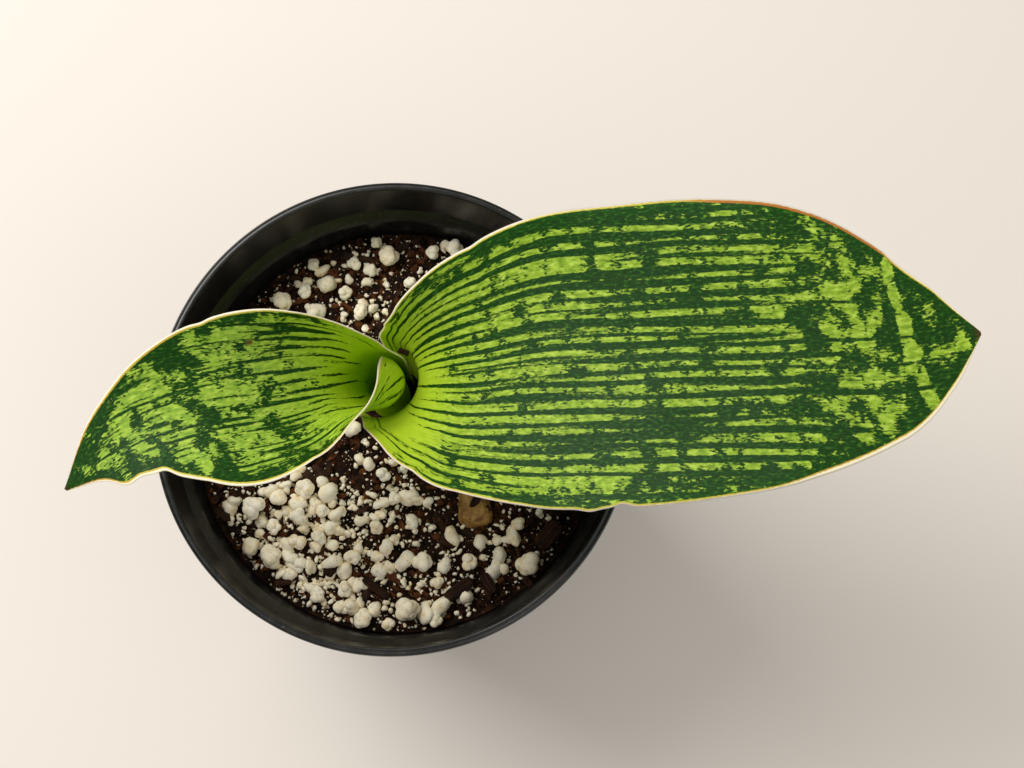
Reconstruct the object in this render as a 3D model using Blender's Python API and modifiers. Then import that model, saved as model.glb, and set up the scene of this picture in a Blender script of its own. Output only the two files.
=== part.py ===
"""Young snake plant (a leaf cutting that has rooted) in a nursery pot.

Frame: metres, +Z up, origin at the centre of the pot's underside. The large leaf leans
towards +X and the small leaf towards -X. Sizes in the tables below are in millimetres.
"""
import math
import random

import bmesh
import bpy
from mathutils import Matrix, Vector

MM = 0.001
GAP = 0.3                      # clearance between pieces that touch

# Pot: a tapered nursery pot with a collar and a flat lip
POT_HEIGHT = 140.0
POT_RIM_RADIUS = 78.0
POT_FOOT_RADIUS = 56.5         # outer radius of the tapered side at its foot
POT_FOOT_HEIGHT = 3.0          # height of the foot's rounding
POT_FLOOR = 1.6                # thickness of the bottom
POT_WALL = 1.4                 # thickness of the side
LEDGE_HEIGHT = 117.0           # where the tapered side steps out into the collar
LEDGE_RADIUS = 72.6            # outer radius of the tapered side at the ledge
COLLAR_RADIUS = 75.4           # outer radius of the collar at its lower edge
LIP_WIDTH = 2.2
POT_STEPS = 64
DRAIN_HOLES = 4
DRAIN_RADIUS = 4.5
DRAIN_CIRCLE = 40.0            # distance of the drain holes from the pot's axis

# Potting mix: fills the pot and is a little higher in the middle
SOIL_EDGE = 106.0
SOIL_CROWN = 108.6
SOIL_STEPS = 48

# Planting position: the leaves' sheaths stand round this vertical axis
STEM_X = -0.5
STEM_Y = 10.0
STEM_POCKET_RADIUS = 12.6      # hollow in the mix round the sheaths
STEM_POCKET_BOTTOM = 80.0

LEAF_THICKNESS = 1.6
LEAF_ALONG = 36                # faces along a leaf
LEAF_AROUND = 20               # faces across a leaf

# The small leaf is rolled inside the large leaf's sheath: its second side is wound
# inside its first one.
# A leaf's stations: position along it, midrib x, y, z, half width on the first and on the
# second side, angle in degrees by which each side curls up at its margin, and twist.
LARGE_LEAF = (
    (0.00, 9.5, 10.0, 96.0, 24.0, 19.0, 130, 106, 0),
    (0.08, 9.8, 10.0, 116.0, 25.0, 19.5, 130, 104, 0),
    (0.15, 10.2, 10.0, 134.0, 28.5, 20.5, 136, 96, 0),
    (0.21, 9.4, 10.8, 147.0, 27.8, 21.2, 114, 92, 0),
    (0.24, 11.7, 10.6, 151.9, 33.4, 25.2, 101, 98, 0),
    (0.27, 15.2, 10.3, 156.0, 35.8, 29.6, 77, 92, 0),
    (0.31, 20.0, 9.9, 160.7, 38.2, 33.4, 54, 68, 0),
    (0.36, 27.1, 9.7, 166.0, 42.4, 37.3, 38, 42, 0),
    (0.48, 48.8, 10.5, 177.0, 47.0, 44.5, 22, 22, 0),
    (0.60, 72.7, 10.3, 186.0, 47.0, 46.0, 16, 16, 0),
    (0.72, 97.5, 10.2, 193.0, 45.0, 46.0, 13, 13, 0),
    (0.82, 123.2, 9.6, 199.0, 40.0, 42.0, 11, 11, 0),
    (0.91, 148.7, 9.3, 203.5, 28.5, 28.5, 9, 9, 0),
    (0.96, 163.2, 11.0, 205.5, 15.7, 15.8, 7, 7, 0),
    (1.00, 174.5, 13.1, 207.0, 0.5, 0.5, 5, 5, 0),
)
SMALL_LEAF = (
    (0.00, -8.6, 10.0, 96.0, 19.3, 27.0, 140, 250, 0),
    (0.10, -8.7, 10.0, 118.0, 19.3, 27.0, 140, 250, 0),
    (0.20, -9.4, 10.0, 138.0, 19.7, 28.4, 138, 258, 0),
    (0.24, -10.3, 9.4, 145.4, 20.4, 32.6, 129, 262, 0),
    (0.28, -12.4, 8.0, 152.0, 21.4, 36.2, 119, 250, 0),
    (0.32, -15.3, 6.0, 157.4, 25.9, 29.4, 114, 208, 0),
    (0.37, -19.8, 3.9, 163.0, 31.0, 21.6, 112, 124, 0),
    (0.42, -25.1, 2.3, 167.6, 32.0, 25.0, 95, 92, 0),
    (0.48, -31.8, 0.5, 172.0, 32.0, 29.0, 78, 74, 0),
    (0.60, -45.2, -2.7, 178.0, 29.0, 29.6, 48, 46, 0),
    (0.72, -58.6, -5.9, 181.0, 24.5, 24.0, 32, 30, 0),
    (0.83, -72.0, -10.8, 181.0, 18.0, 16.5, 22, 20, 0),
    (0.92, -85.0, -17.7, 178.0, 10.2, 10.0, 14, 12, 0),
    (1.00, -97.3, -28.4, 173.0, 0.5, 0.5, 8, 8, 0),
)

# Rhizome: runs from under the sheaths to a tip that breaks the surface
RHIZOME_RADIUS = 7.5
RHIZOME_ROUTE = (
    (-1.0, 12.0, 84.0), (-0.5, 6.0, 86.5), (3.0, -6.0, 88.0), (10.0, -17.0, 93.0),
    (17.0, -25.0, 99.5), (22.5, -29.5, 105.0), (25.0, -31.2, 108.0),
)

# Largest perlite granules on the mix: x, y, radius
PERLITE = (
    (43.8, -46.4, 5.0), (3.4, -61.2, 4.7), (-4.3, 59.5, 4.5), (-48.4, -27.4, 4.4),
    (-43.0, -44.2, 4.4), (-40.4, -24.6, 3.6), (-31.8, -21.4, 3.9), (-11.4, -64.4, 3.8),
    (8.3, -46.0, 4.0), (-41.0, 43.9, 3.8), (18.9, 62.9, 3.6), (-33.9, -38.8, 3.6),
    (24.3, -45.4, 3.4), (-27.0, -56.6, 3.3), (-18.8, -61.2, 3.0), (12.6, -64.8, 3.1),
    (11.3, 62.2, 3.0), (-13.6, 40.6, 3.1), (-41.6, -33.6, 3.0), (-32.4, -46.8, 3.0),
    (-26.4, -37.2, 2.9), (-25.4, -28.6, 2.9), (-17.7, -54.7, 3.0), (-3.0, -66.2, 2.6),
    (-14.8, -44.0, 3.0), (-7.2, -34.2, 3.0), (40.6, -33.0, 2.9), (-4.9, -16.0, 3.0),
    (-33.0, 48.0, 2.8), (-30.3, 57.4, 2.6), (-15.8, 57.4, 2.8), (-8.6, 65.4, 2.4),
    (-19.2, 47.6, 2.8), (3.3, 50.9, 2.8), (13.4, -52.6, 2.5), (-1.1, -24.4, 2.7),
)
PERLITE_SQUASH = 0.78          # height of a granule over its width

# Bark chips on the mix: x, y, length, width, height, turn in degrees
BARK_CHIPS = (
    (21.0, -54.6, 12.0, 5.0, 3.6, 35), (-7.0, -54.6, 13.0, 3.6, 3.2, -38),
    (-22.0, -47.0, 7.5, 4.6, 3.0, 62), (-38.4, -51.8, 7.0, 4.4, 2.8, 10),
    (17.0, -39.2, 7.0, 4.2, 2.8, -18), (51.6, -36.2, 11.5, 7.0, 5.2, 48),
    (55.0, -26.0, 9.5, 6.4, 5.0, -22), (31.0, -53.0, 8.5, 4.4, 3.0, -58),
)
# Bark crumb wedged between the two leaves: centre, size, and tilt and turn in degrees
CRUMB_CENTRE = (3.8, 18.9, 148.6)
CRUMB_SIZE = (4.2, 2.8, 1.5)
CRUMB_TILT = 40
CRUMB_TURN = -22


# ---------------------------------------------------------------- scene helpers
def clear_scene():
    """Remove every object of the opened scene."""
    for old in list(bpy.data.objects):
        bpy.data.objects.remove(old, do_unlink=True)


def new_collection(name):
    """Add a collection to the scene and return it."""
    coll = bpy.data.collections.new(name)
    bpy.context.scene.collection.children.link(coll)
    return coll


def material(name, color, roughness, metallic=0.0):
    """Return a Principled material with one colour (linear RGB)."""
    mat = bpy.data.materials.new(name)
    mat.use_nodes = True
    shader = mat.node_tree.nodes["Principled BSDF"]
    shader.inputs["Base Color"].default_value = (*color, 1.0)
    shader.inputs["Roughness"].default_value = roughness
    shader.inputs["Metallic"].default_value = metallic
    mat.diffuse_color = (*color, 1.0)
    return mat


def add_object(name, mesh, coll, mat=None, smooth_angle=None):
    """Put a mesh in the scene under a name, with its material and shading."""
    obj = bpy.data.objects.new(name, mesh)
    coll.objects.link(obj)
    if mat is not None:
        mesh.materials.append(mat)
    if smooth_angle is not None:
        mesh.shade_smooth()
        mesh.set_sharp_from_angle(angle=math.radians(smooth_angle))
    return obj


def mark_cutter(obj):
    """Keep a cutter out of the render and show it as wire."""
    obj.hide_render = True
    obj.display_type = "WIRE"
    return obj


def cut(obj, cutter):
    """Subtract a cutter from an object with an exact Boolean."""
    mod = obj.modifiers.new("cut_" + cutter.name, "BOOLEAN")
    mod.operation = "DIFFERENCE"
    mod.solver = "EXACT"
    mod.object = cutter


def turned(name, profile, steps, coll, mat):
    """Turn a profile of (radius, height) points, axis to axis, into a closed solid."""
    mesh = bpy.data.meshes.new(name)
    points = [(r * MM, 0.0, z * MM) for r, z in profile]
    edges = [(i, i + 1) for i in range(len(points) - 1)]
    mesh.from_pydata(points, edges, [])
    obj = add_object(name, mesh, coll, mat)
    mod = obj.modifiers.new("turn", "SCREW")
    mod.axis = "Z"
    mod.steps = mod.render_steps = steps
    mod.use_merge_vertices = True
    mod.merge_threshold = 0.00001
    mod.use_smooth_shade = True
    return obj


def cylinder(name, radius, bottom, top, x, y, coll, segments=24):
    """Add a plain upright cylinder, used as a cutter."""
    bm = bmesh.new()
    bmesh.ops.create_cone(
        bm, cap_ends=True, segments=segments, radius1=radius * MM, radius2=radius * MM,
        depth=(top - bottom) * MM)
    mesh = bpy.data.meshes.new(name)
    bm.to_mesh(mesh)
    bm.free()
    obj = add_object(name, mesh, coll)
    obj.location = (x * MM, y * MM, (top + bottom) / 2 * MM)
    return obj


# ---------------------------------------------------------------- pot and mix
def outer_radius(height):
    """Outer radius of the pot's tapered side at a height."""
    taper = (LEDGE_RADIUS - POT_FOOT_RADIUS) / (LEDGE_HEIGHT - POT_FOOT_HEIGHT)
    return POT_FOOT_RADIUS + taper * (height - POT_FOOT_HEIGHT)


def inner_radius(height):
    """Inner radius of the pot's tapered side at a height."""
    return outer_radius(height) - POT_WALL


def build_pot(coll, cutters, mat):
    """Tapered side, ledge, collar, flat lip and a floor with drain holes."""
    rim, top, ledge = POT_RIM_RADIUS, POT_HEIGHT, LEDGE_HEIGHT
    collar_in = COLLAR_RADIUS - POT_WALL
    inside = [
        (0.0, POT_FLOOR), (inner_radius(POT_FLOOR) - 2.4, POT_FLOOR),
        (inner_radius(2.4) - 0.8, 2.4), (inner_radius(3.6), 3.6),
        (inner_radius(ledge - 1.4), ledge - 1.4), (inner_radius(ledge) + 0.4, ledge - 0.2),
        (collar_in - 0.8, ledge + 2.2), (collar_in, ledge + 3.2),
        (rim - LIP_WIDTH - 0.8, top - 4.6), (rim - LIP_WIDTH - 0.4, top - 0.6),
        (rim - LIP_WIDTH, top)]
    outside = [
        (rim - 0.8, top), (rim, top - 0.8), (rim, top - 3.5), (rim - 1.4, top - 4.2),
        (COLLAR_RADIUS, ledge + 1.5), (COLLAR_RADIUS - 0.8, ledge + 0.8),
        (outer_radius(ledge) + 0.2, ledge + 0.4), (outer_radius(ledge - 0.6), ledge - 0.6),
        (POT_FOOT_RADIUS, POT_FOOT_HEIGHT), (POT_FOOT_RADIUS - 1.0, 0.8),
        (POT_FOOT_RADIUS - 1.8, 0.0), (0.0, 0.0)]
    pot = turned("pot", inside + outside, POT_STEPS, coll, mat)
    for i in range(DRAIN_HOLES):
        angle = math.tau * (i + 0.5) / DRAIN_HOLES
        hole = cylinder(
            f"drain_cutter_{i + 1}", DRAIN_RADIUS, -2.0, 4.0,
            DRAIN_CIRCLE * math.cos(angle), DRAIN_CIRCLE * math.sin(angle), cutters, 16)
        cut(pot, mark_cutter(hole))
    return pot


def soil_height(x, y):
    """Height of the mix's surface at a place."""
    reach = min(math.hypot(x, y) / inner_radius(SOIL_EDGE), 1.0)
    return SOIL_EDGE + (SOIL_CROWN - SOIL_EDGE) * (1.0 - reach ** 2)


def build_soil(coll, mat, pocket, rhizome_cutter):
    """Potting mix up to its surface, hollowed for the sheaths and the rhizome."""
    edge = inner_radius(SOIL_EDGE) - GAP - 0.1
    bottom = POT_FLOOR + GAP + 0.05
    surface = [(edge * t, soil_height(edge * t, 0.0)) for t in (0.0, 0.2, 0.4, 0.65, 0.85, 1.0)]
    below = [(inner_radius(6.0) - GAP - 0.1, 6.0), (inner_radius(6.0) - 3.0, bottom), (0.0, bottom)]
    soil = turned("soil", surface + below, SOIL_STEPS, coll, mat)
    cut(soil, pocket)
    cut(soil, rhizome_cutter)
    return soil


def tube_mesh(name, route, radius, coll):
    """Tube with rounded ends along a route, as a closed mesh object."""
    points = [Vector(p) for p in route]
    first = (points[0] - points[1]).normalized()
    last = (points[-1] - points[-2]).normalized()
    ends = ((0.72, 0.55), (0.5, 0.85))
    path = [(points[0] + first * radius * out, thin) for out, thin in ends]
    path += [(p, 1.0) for p in points]
    path += [(points[-1] + last * radius * out, thin) for out, thin in reversed(ends)]
    curve = bpy.data.curves.new(name, "CURVE")
    curve.dimensions = "3D"
    curve.bevel_depth = radius * MM
    curve.bevel_resolution = 3
    curve.use_fill_caps = True
    spline = curve.splines.new("POLY")
    spline.points.add(len(path) - 1)
    for knot, (place, thin) in zip(spline.points, path):
        knot.co = (*(place * MM), 1.0)
        knot.radius = thin
    guide = bpy.data.objects.new(name + "_route", curve)
    coll.objects.link(guide)
    bpy.context.view_layer.update()
    shape = guide.evaluated_get(bpy.context.evaluated_depsgraph_get())
    mesh = bpy.data.meshes.new_from_object(shape)
    bpy.data.objects.remove(guide)
    bm = bmesh.new()
    bm.from_mesh(mesh)
    bmesh.ops.remove_doubles(bm, verts=bm.verts, dist=0.00001)
    bmesh.ops.recalc_face_normals(bm, faces=bm.faces)
    bm.to_mesh(mesh)
    bm.free()
    mesh.name = name
    return mesh


# ---------------------------------------------------------------- leaves
def station(table, u):
    """Read a leaf table at u with a smooth cubic through its rows."""
    last = len(table) - 2
    i = min(max(k for k in range(last + 1) if table[k][0] <= u + 1e-9), last)
    low, high = table[i], table[i + 1]
    before, after = table[max(i - 1, 0)], table[min(i + 2, last + 1)]
    span = high[0] - low[0]
    t = (u - low[0]) / span
    values = []
    for k in range(1, len(low)):
        rise_low = (high[k] - before[k]) / (high[0] - before[0]) * span
        rise_high = (after[k] - low[k]) / (after[0] - low[0]) * span
        values.append(
            (2 * t ** 3 - 3 * t ** 2 + 1) * low[k] + (t ** 3 - 2 * t ** 2 + t) * rise_low
            + (3 * t ** 2 - 2 * t ** 3) * high[k] + (t ** 3 - t ** 2) * rise_high)
    return values


def leaf_frame(table, side, u):
    """Midrib point, direction across the leaf and upward normal at u."""
    values = station(table, u)
    step = 0.004
    ahead = Vector(station(table, min(u + step, 1.0))[:3])
    behind = Vector(station(table, max(u - step, 0.0))[:3])
    along = (ahead - behind).normalized()
    across = (side - along * side.dot(along)).normalized()
    turn = Matrix.Rotation(math.radians(values[7]), 3, along)
    across = turn @ across
    return Vector(values[:3]), across, along.cross(across), values


def leaf_point(table, side, u, v):
    """Point of the leaf at u along it and v (-1 to 1) across it; each side is an arc."""
    root, across, normal, values = leaf_frame(table, side, u)
    half = max(values[3] if v <= 0 else values[4], 0.0)
    curl = math.radians(max(values[5] if v <= 0 else values[6], 1.0))
    radius = half / curl
    angle = curl * abs(v)
    shift = math.copysign(radius * math.sin(angle), v)
    return root + across * shift + normal * radius * (1.0 - math.cos(angle))


def build_leaf(name, table, side, coll, mat):
    """Loft a leaf through its stations and give it its thickness."""
    points = []
    for i in range(LEAF_ALONG + 1):
        for j in range(LEAF_AROUND + 1):
            across = 2.0 * j / LEAF_AROUND - 1.0
            points.append(leaf_point(table, side, i / LEAF_ALONG, across) * MM)
    row = LEAF_AROUND + 1
    faces = [
        (i * row + j, (i + 1) * row + j, (i + 1) * row + j + 1, i * row + j + 1)
        for i in range(LEAF_ALONG) for j in range(LEAF_AROUND)]
    mesh = bpy.data.meshes.new(name)
    mesh.from_pydata(points, [], faces)
    leaf = add_object(name, mesh, coll, mat, smooth_angle=50)
    thick = leaf.modifiers.new("thickness", "SOLIDIFY")
    thick.thickness = LEAF_THICKNESS * MM
    thick.offset = 0.0
    return leaf


# ---------------------------------------------------------------- loose pieces
def build_perlite(coll, mat):
    """Largest white granules, lying on the mix and clear of the pot's side."""
    for i, (x, y, radius) in enumerate(PERLITE):
        name = f"perlite_{i + 1:02d}"
        bm = bmesh.new()
        bmesh.ops.create_icosphere(bm, subdivisions=2, radius=radius * MM)
        rng = random.Random(100 + i)
        for vert in bm.verts:
            vert.co *= rng.uniform(0.90, 1.0)
        mesh = bpy.data.meshes.new(name)
        bm.to_mesh(mesh)
        bm.free()
        mesh.transform(Matrix.Diagonal((1.0, 1.0, PERLITE_SQUASH, 1.0)))
        granule = add_object(name, mesh, coll, mat, smooth_angle=50)
        rest = soil_height(max(math.hypot(x, y) - radius, 0.0), 0.0)
        granule.location = (x * MM, y * MM, (rest + GAP + radius * PERLITE_SQUASH) * MM)
        granule.rotation_euler = (0.0, 0.0, rng.uniform(0.0, math.tau))


def chip_mesh(name, length, width, height, seed):
    """Block of bark, narrower and lower at one end, with broken edges."""
    bm = bmesh.new()
    bmesh.ops.create_cube(bm, size=1.0)
    rng = random.Random(seed)
    for vert in bm.verts:
        taper = 0.72 if vert.co.x > 0 else 1.0
        vert.co.x *= length * MM
        vert.co.y *= width * taper * rng.uniform(0.85, 1.0) * MM
        vert.co.z *= height * taper * MM if vert.co.z > 0 else height * MM
    bmesh.ops.bevel(
        bm, geom=list(bm.edges), offset=0.14 * min(width, height) * MM, segments=1,
        affect="EDGES")
    mesh = bpy.data.meshes.new(name)
    bm.to_mesh(mesh)
    bm.free()
    return mesh


def build_bark(coll, mat):
    """Loose bark chips lying on the mix."""
    for i, (x, y, length, width, height, turn) in enumerate(BARK_CHIPS):
        name = f"bark_chip_{i + 1:02d}"
        chip = add_object(name, chip_mesh(name, length, width, height, 40 + i), coll, mat)
        rest = soil_height(max(math.hypot(x, y) - length / 2, 0.0), 0.0)
        chip.location = (x * MM, y * MM, (rest + GAP + height / 2) * MM)
        chip.rotation_euler = (0.0, 0.0, math.radians(turn))


def build_crumb(coll, mat):
    """Flat crumb of bark wedged between the small leaf and the large leaf's sheath."""
    crumb = add_object("bark_crumb", chip_mesh("bark_crumb", *CRUMB_SIZE, 77), coll, mat)
    crumb.location = Vector(CRUMB_CENTRE) * MM
    crumb.rotation_euler = (math.radians(CRUMB_TILT), 0.0, math.radians(CRUMB_TURN))


def main():
    clear_scene()
    plant = new_collection("potted_snake_plant")
    cutters = new_collection("cutters")
    pot_black = material("pot_plastic", (0.012, 0.012, 0.013), 0.42)
    mix_brown = material("potting_mix", (0.022, 0.013, 0.008), 0.95)
    leaf_green = material("leaf_green", (0.020, 0.085, 0.022), 0.38)
    rhizome_tan = material("rhizome_skin", (0.38, 0.20, 0.06), 0.6)
    perlite_white = material("perlite", (0.78, 0.72, 0.62), 0.9)
    bark_brown = material("bark", (0.045, 0.022, 0.012), 0.9)

    up_side = Vector((0.0, 1.0, 0.0))
    build_pot(plant, cutters, pot_black)
    pocket = mark_cutter(cylinder(
        "stem_pocket", STEM_POCKET_RADIUS, STEM_POCKET_BOTTOM, POT_HEIGHT, STEM_X, STEM_Y,
        cutters))
    groove = mark_cutter(add_object(
        "rhizome_groove",
        tube_mesh("rhizome_groove", RHIZOME_ROUTE, RHIZOME_RADIUS + GAP + 0.15, cutters),
        cutters))
    build_soil(plant, mix_brown, pocket, groove)
    add_object(
        "rhizome", tube_mesh("rhizome", RHIZOME_ROUTE, RHIZOME_RADIUS, cutters), plant,
        rhizome_tan, smooth_angle=50)
    build_leaf("large_leaf", LARGE_LEAF, up_side, plant, leaf_green)
    build_leaf("small_leaf", SMALL_LEAF, -up_side, plant, leaf_green)
    build_perlite(plant, perlite_white)
    build_bark(plant, bark_brown)
    build_crumb(plant, bark_brown)


main()
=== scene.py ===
"""A young snake plant in a black nursery pot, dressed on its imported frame.

Everything is in metres with +Z up, in the frame's own axes. Sizes inside the
classes are in millimetres, as a grower would measure them, and are turned to
metres where a mesh is filled.
"""

import logging
import math
from dataclasses import dataclass
from enum import Enum
from functools import partial
from typing import Any

import bpy
import numpy as np
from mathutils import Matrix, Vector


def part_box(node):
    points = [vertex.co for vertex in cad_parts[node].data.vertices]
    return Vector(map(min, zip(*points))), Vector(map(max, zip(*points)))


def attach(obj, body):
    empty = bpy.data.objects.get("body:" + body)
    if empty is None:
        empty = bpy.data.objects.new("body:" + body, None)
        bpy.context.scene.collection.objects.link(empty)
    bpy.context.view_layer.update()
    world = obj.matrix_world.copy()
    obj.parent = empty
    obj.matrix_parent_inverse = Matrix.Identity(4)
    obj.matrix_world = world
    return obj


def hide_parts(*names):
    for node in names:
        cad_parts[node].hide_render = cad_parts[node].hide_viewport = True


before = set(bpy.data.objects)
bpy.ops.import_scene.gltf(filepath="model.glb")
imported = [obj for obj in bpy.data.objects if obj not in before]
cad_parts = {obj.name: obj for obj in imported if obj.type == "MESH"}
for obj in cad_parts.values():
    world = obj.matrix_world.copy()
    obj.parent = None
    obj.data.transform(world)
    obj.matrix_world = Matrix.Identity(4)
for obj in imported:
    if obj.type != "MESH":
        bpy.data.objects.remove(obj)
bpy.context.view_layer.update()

MM = 0.001
LOG = logging.getLogger("snake_plant")
Rows = tuple[tuple[float, ...], ...]


class Body(Enum):
    """The frame's bodies that a piece can ride on."""

    WHOLE = "root"


class Slot(Enum):
    """The record's material slots."""

    PLASTIC = "pot_plastic"
    MIX = "potting_mix"
    LEAF = "leaf_green"
    RHIZOME = "rhizome_skin"
    PERLITE = "perlite"
    BARK = "bark"


# ---------------------------------------------------------------- mesh tools


def fill_mesh(name: str, points: np.ndarray, quads: np.ndarray,
              triangles: np.ndarray | None = None, smooth: bool = True) -> bpy.types.Object:
    """Puts whole arrays of points and faces into a new mesh object at the origin.

    Args:
        name: the piece's name.
        points: (n, 3) places in millimetres.
        quads: (q, 4) vertex numbers.
        triangles: (t, 3) vertex numbers, such as those that close a pole.
        smooth: whether faces shade smoothly.

    Returns:
        The new object, linked into the scene.
    """
    triangles = np.zeros((0, 3), np.int64) if triangles is None else triangles
    mesh = bpy.data.meshes.new(name)
    mesh.vertices.add(len(points))
    mesh.vertices.foreach_set("co", (points * MM).astype(np.float32).ravel())
    corners = np.concatenate([quads.ravel(), triangles.ravel()]).astype(np.int32)
    starts = np.concatenate([np.arange(len(quads)) * 4,
                             len(quads) * 4 + np.arange(len(triangles)) * 3]).astype(np.int32)
    mesh.loops.add(len(corners))
    mesh.loops.foreach_set("vertex_index", corners)
    mesh.polygons.add(len(starts))
    mesh.polygons.foreach_set("loop_start", starts)
    mesh.update(calc_edges=True)
    mesh.validate()
    mesh.polygons.foreach_set("use_smooth", np.full(len(mesh.polygons), smooth))
    piece = bpy.data.objects.new(name, mesh)
    bpy.context.scene.collection.objects.link(piece)
    return piece


def wrapped_quads(rows: int, columns: int) -> np.ndarray:
    """Quads of a grid whose columns close round: corner (i, j), (i, j+1), (i+1, j+1), (i+1, j).

    Args:
        rows: number of rings.
        columns: points in each ring.

    Returns:
        ((rows - 1) * columns, 4) vertex numbers.
    """
    i, j = np.meshgrid(np.arange(rows - 1), np.arange(columns), indexing="ij")
    k = (j + 1) % columns
    return np.stack([i * columns + j, i * columns + k,
                     (i + 1) * columns + k, (i + 1) * columns + j], -1).reshape(-1, 4)


def closed_by_poles(rings: np.ndarray) -> tuple[np.ndarray, np.ndarray, np.ndarray]:
    """Rings whose first and last have no radius become one surface closed by two poles.

    Args:
        rings: (rows, columns, 3) points, running up the axis.

    Returns:
        Points, quads and the triangles round each pole.
    """
    rows, columns = rings.shape[:2]
    inner = rings[1:-1].reshape(-1, 3)
    points = np.concatenate([inner, rings[:1, 0], rings[-1:, 0]])
    j = np.arange(columns)
    k = (j + 1) % columns
    first, last = len(inner), len(inner) + 1
    base = (rows - 3) * columns
    triangles = np.concatenate([np.stack([np.full(columns, first), k, j], -1),
                                np.stack([np.full(columns, last), base + j, base + k], -1)])
    return points, wrapped_quads(rows - 2, columns), triangles


def facing_out(points: np.ndarray, quads: np.ndarray,
               triangles: np.ndarray | None = None) -> tuple[np.ndarray, np.ndarray | None]:
    """Turns every face round when the volume summed from the faces is negative.

    Args:
        points: (n, 3) places.
        quads: (q, 4) faces.
        triangles: (t, 3) faces or None.

    Returns:
        The faces, all pointing outwards.
    """
    split = np.concatenate([quads[:, [0, 1, 2]], quads[:, [0, 2, 3]]]
                           + ([] if triangles is None else [triangles]))
    a, b, c = points[split[:, 0]], points[split[:, 1]], points[split[:, 2]]
    if np.einsum("ij,ij->i", a, np.cross(b, c)).sum() >= 0:
        return quads, triangles
    return quads[:, ::-1], None if triangles is None else triangles[:, ::-1]


def store(piece: bpy.types.Object, name: str, values: np.ndarray) -> None:
    """Stores a number or a vector on every vertex for the material to read.

    Args:
        piece: the mesh object.
        name: the attribute's name.
        values: (n,) or (n, 3) values.
    """
    kind, key = ("FLOAT", "value") if values.ndim == 1 else ("FLOAT_VECTOR", "vector")
    attribute = piece.data.attributes.new(name, kind, "POINT")
    attribute.data.foreach_set(key, values.astype(np.float32).ravel())


def lattice_noise(at: np.ndarray, seed: int) -> np.ndarray:
    """Smooth noise from -1 to 1: hashed values on whole-number corners, blended by 3t^2 - 2t^3.

    Args:
        at: (..., 3) places, one lattice cell per unit.
        seed: which noise.

    Returns:
        (...) values.
    """
    cell = np.floor(at).astype(np.int64)
    t = at - cell
    t = t * t * (3 - 2 * t)
    total = np.zeros(at.shape[:-1])
    for corner in np.ndindex(2, 2, 2):
        c = cell + np.array(corner)
        h = (c[..., 0] * 73856093) ^ (c[..., 1] * 19349663) ^ (c[..., 2] * 83492791) ^ (seed * 668265263)
        h = ((h & 0xFFFFFFFF) ^ ((h & 0xFFFFFFFF) >> 13)) * 1274126177 & 0xFFFFFFFF
        h = (h ^ (h >> 16)) & 0xFFFF
        total += np.where(np.array(corner) == 1, t, 1 - t).prod(-1) * (h / 32767.5 - 1)
    return total


def rough(at: np.ndarray, size: float, seed: int, octaves: int = 3) -> np.ndarray:
    """Sum of noises, each half as large and half as strong as the one before.

    Args:
        at: (..., 3) places in millimetres.
        size: largest lump in millimetres.
        seed: which noise.
        octaves: how many noises.

    Returns:
        (...) values, about -1 to 1.
    """
    return sum(lattice_noise(at / size * 2**k, seed + k) * 0.5**k for k in range(octaves))


def curve_through(stops: np.ndarray, values: np.ndarray, at: np.ndarray) -> np.ndarray:
    """Cubic curve through tabled values, its slope at a stop taken from the stops beside it.

    Args:
        stops: (n,) rising places.
        values: (n, m) values at the stops.
        at: (k,) places to read.

    Returns:
        (k, m) values.
    """
    slope = np.empty_like(values)
    slope[1:-1] = (values[2:] - values[:-2]) / (stops[2:] - stops[:-2])[:, None]
    slope[0] = (values[1] - values[0]) / (stops[1] - stops[0])
    slope[-1] = (values[-1] - values[-2]) / (stops[-1] - stops[-2])
    i = np.clip(np.searchsorted(stops, at, side="right") - 1, 0, len(stops) - 2)
    h = (stops[i + 1] - stops[i])[:, None]
    t = ((at - stops[i]) / (stops[i + 1] - stops[i]))[:, None]
    return ((2 * t**3 - 3 * t**2 + 1) * values[i] + (t**3 - 2 * t**2 + t) * h * slope[i]
            + (-2 * t**3 + 3 * t**2) * values[i + 1] + (t**3 - t**2) * h * slope[i + 1])


def unit(vectors: np.ndarray) -> np.ndarray:
    """Vectors of length one along the last axis."""
    return vectors / np.maximum(np.linalg.norm(vectors, axis=-1, keepdims=True), 1e-12)


def directions(rows: int, columns: int) -> np.ndarray:
    """Unit directions from pole to pole: polar angle pi*i/(rows-1), turn 2*pi*j/columns.

    Args:
        rows: rings, the poles included.
        columns: points in each ring.

    Returns:
        (rows, columns, 3) directions.
    """
    polar = np.pi * np.arange(rows) / (rows - 1)
    turn = 2 * np.pi * np.arange(columns) / columns
    return np.stack([np.sin(polar)[:, None] * np.cos(turn), np.sin(polar)[:, None] * np.sin(turn),
                     -np.cos(polar)[:, None] * np.ones(columns)], -1)


def random_turns(count: int, random: np.random.Generator) -> np.ndarray:
    """Evenly spread rotation matrices, from unit quaternions.

    Args:
        count: how many.
        random: the seeded source.

    Returns:
        (count, 3, 3) matrices.
    """
    w, x, y, z = unit(random.normal(size=(count, 4))).T
    return np.stack([1 - 2 * (y * y + z * z), 2 * (x * y - z * w), 2 * (x * z + y * w),
                     2 * (x * y + z * w), 1 - 2 * (x * x + z * z), 2 * (y * z - x * w),
                     2 * (x * z - y * w), 2 * (y * z + x * w), 1 - 2 * (x * x + y * y)],
                    -1).reshape(-1, 3, 3)


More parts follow.
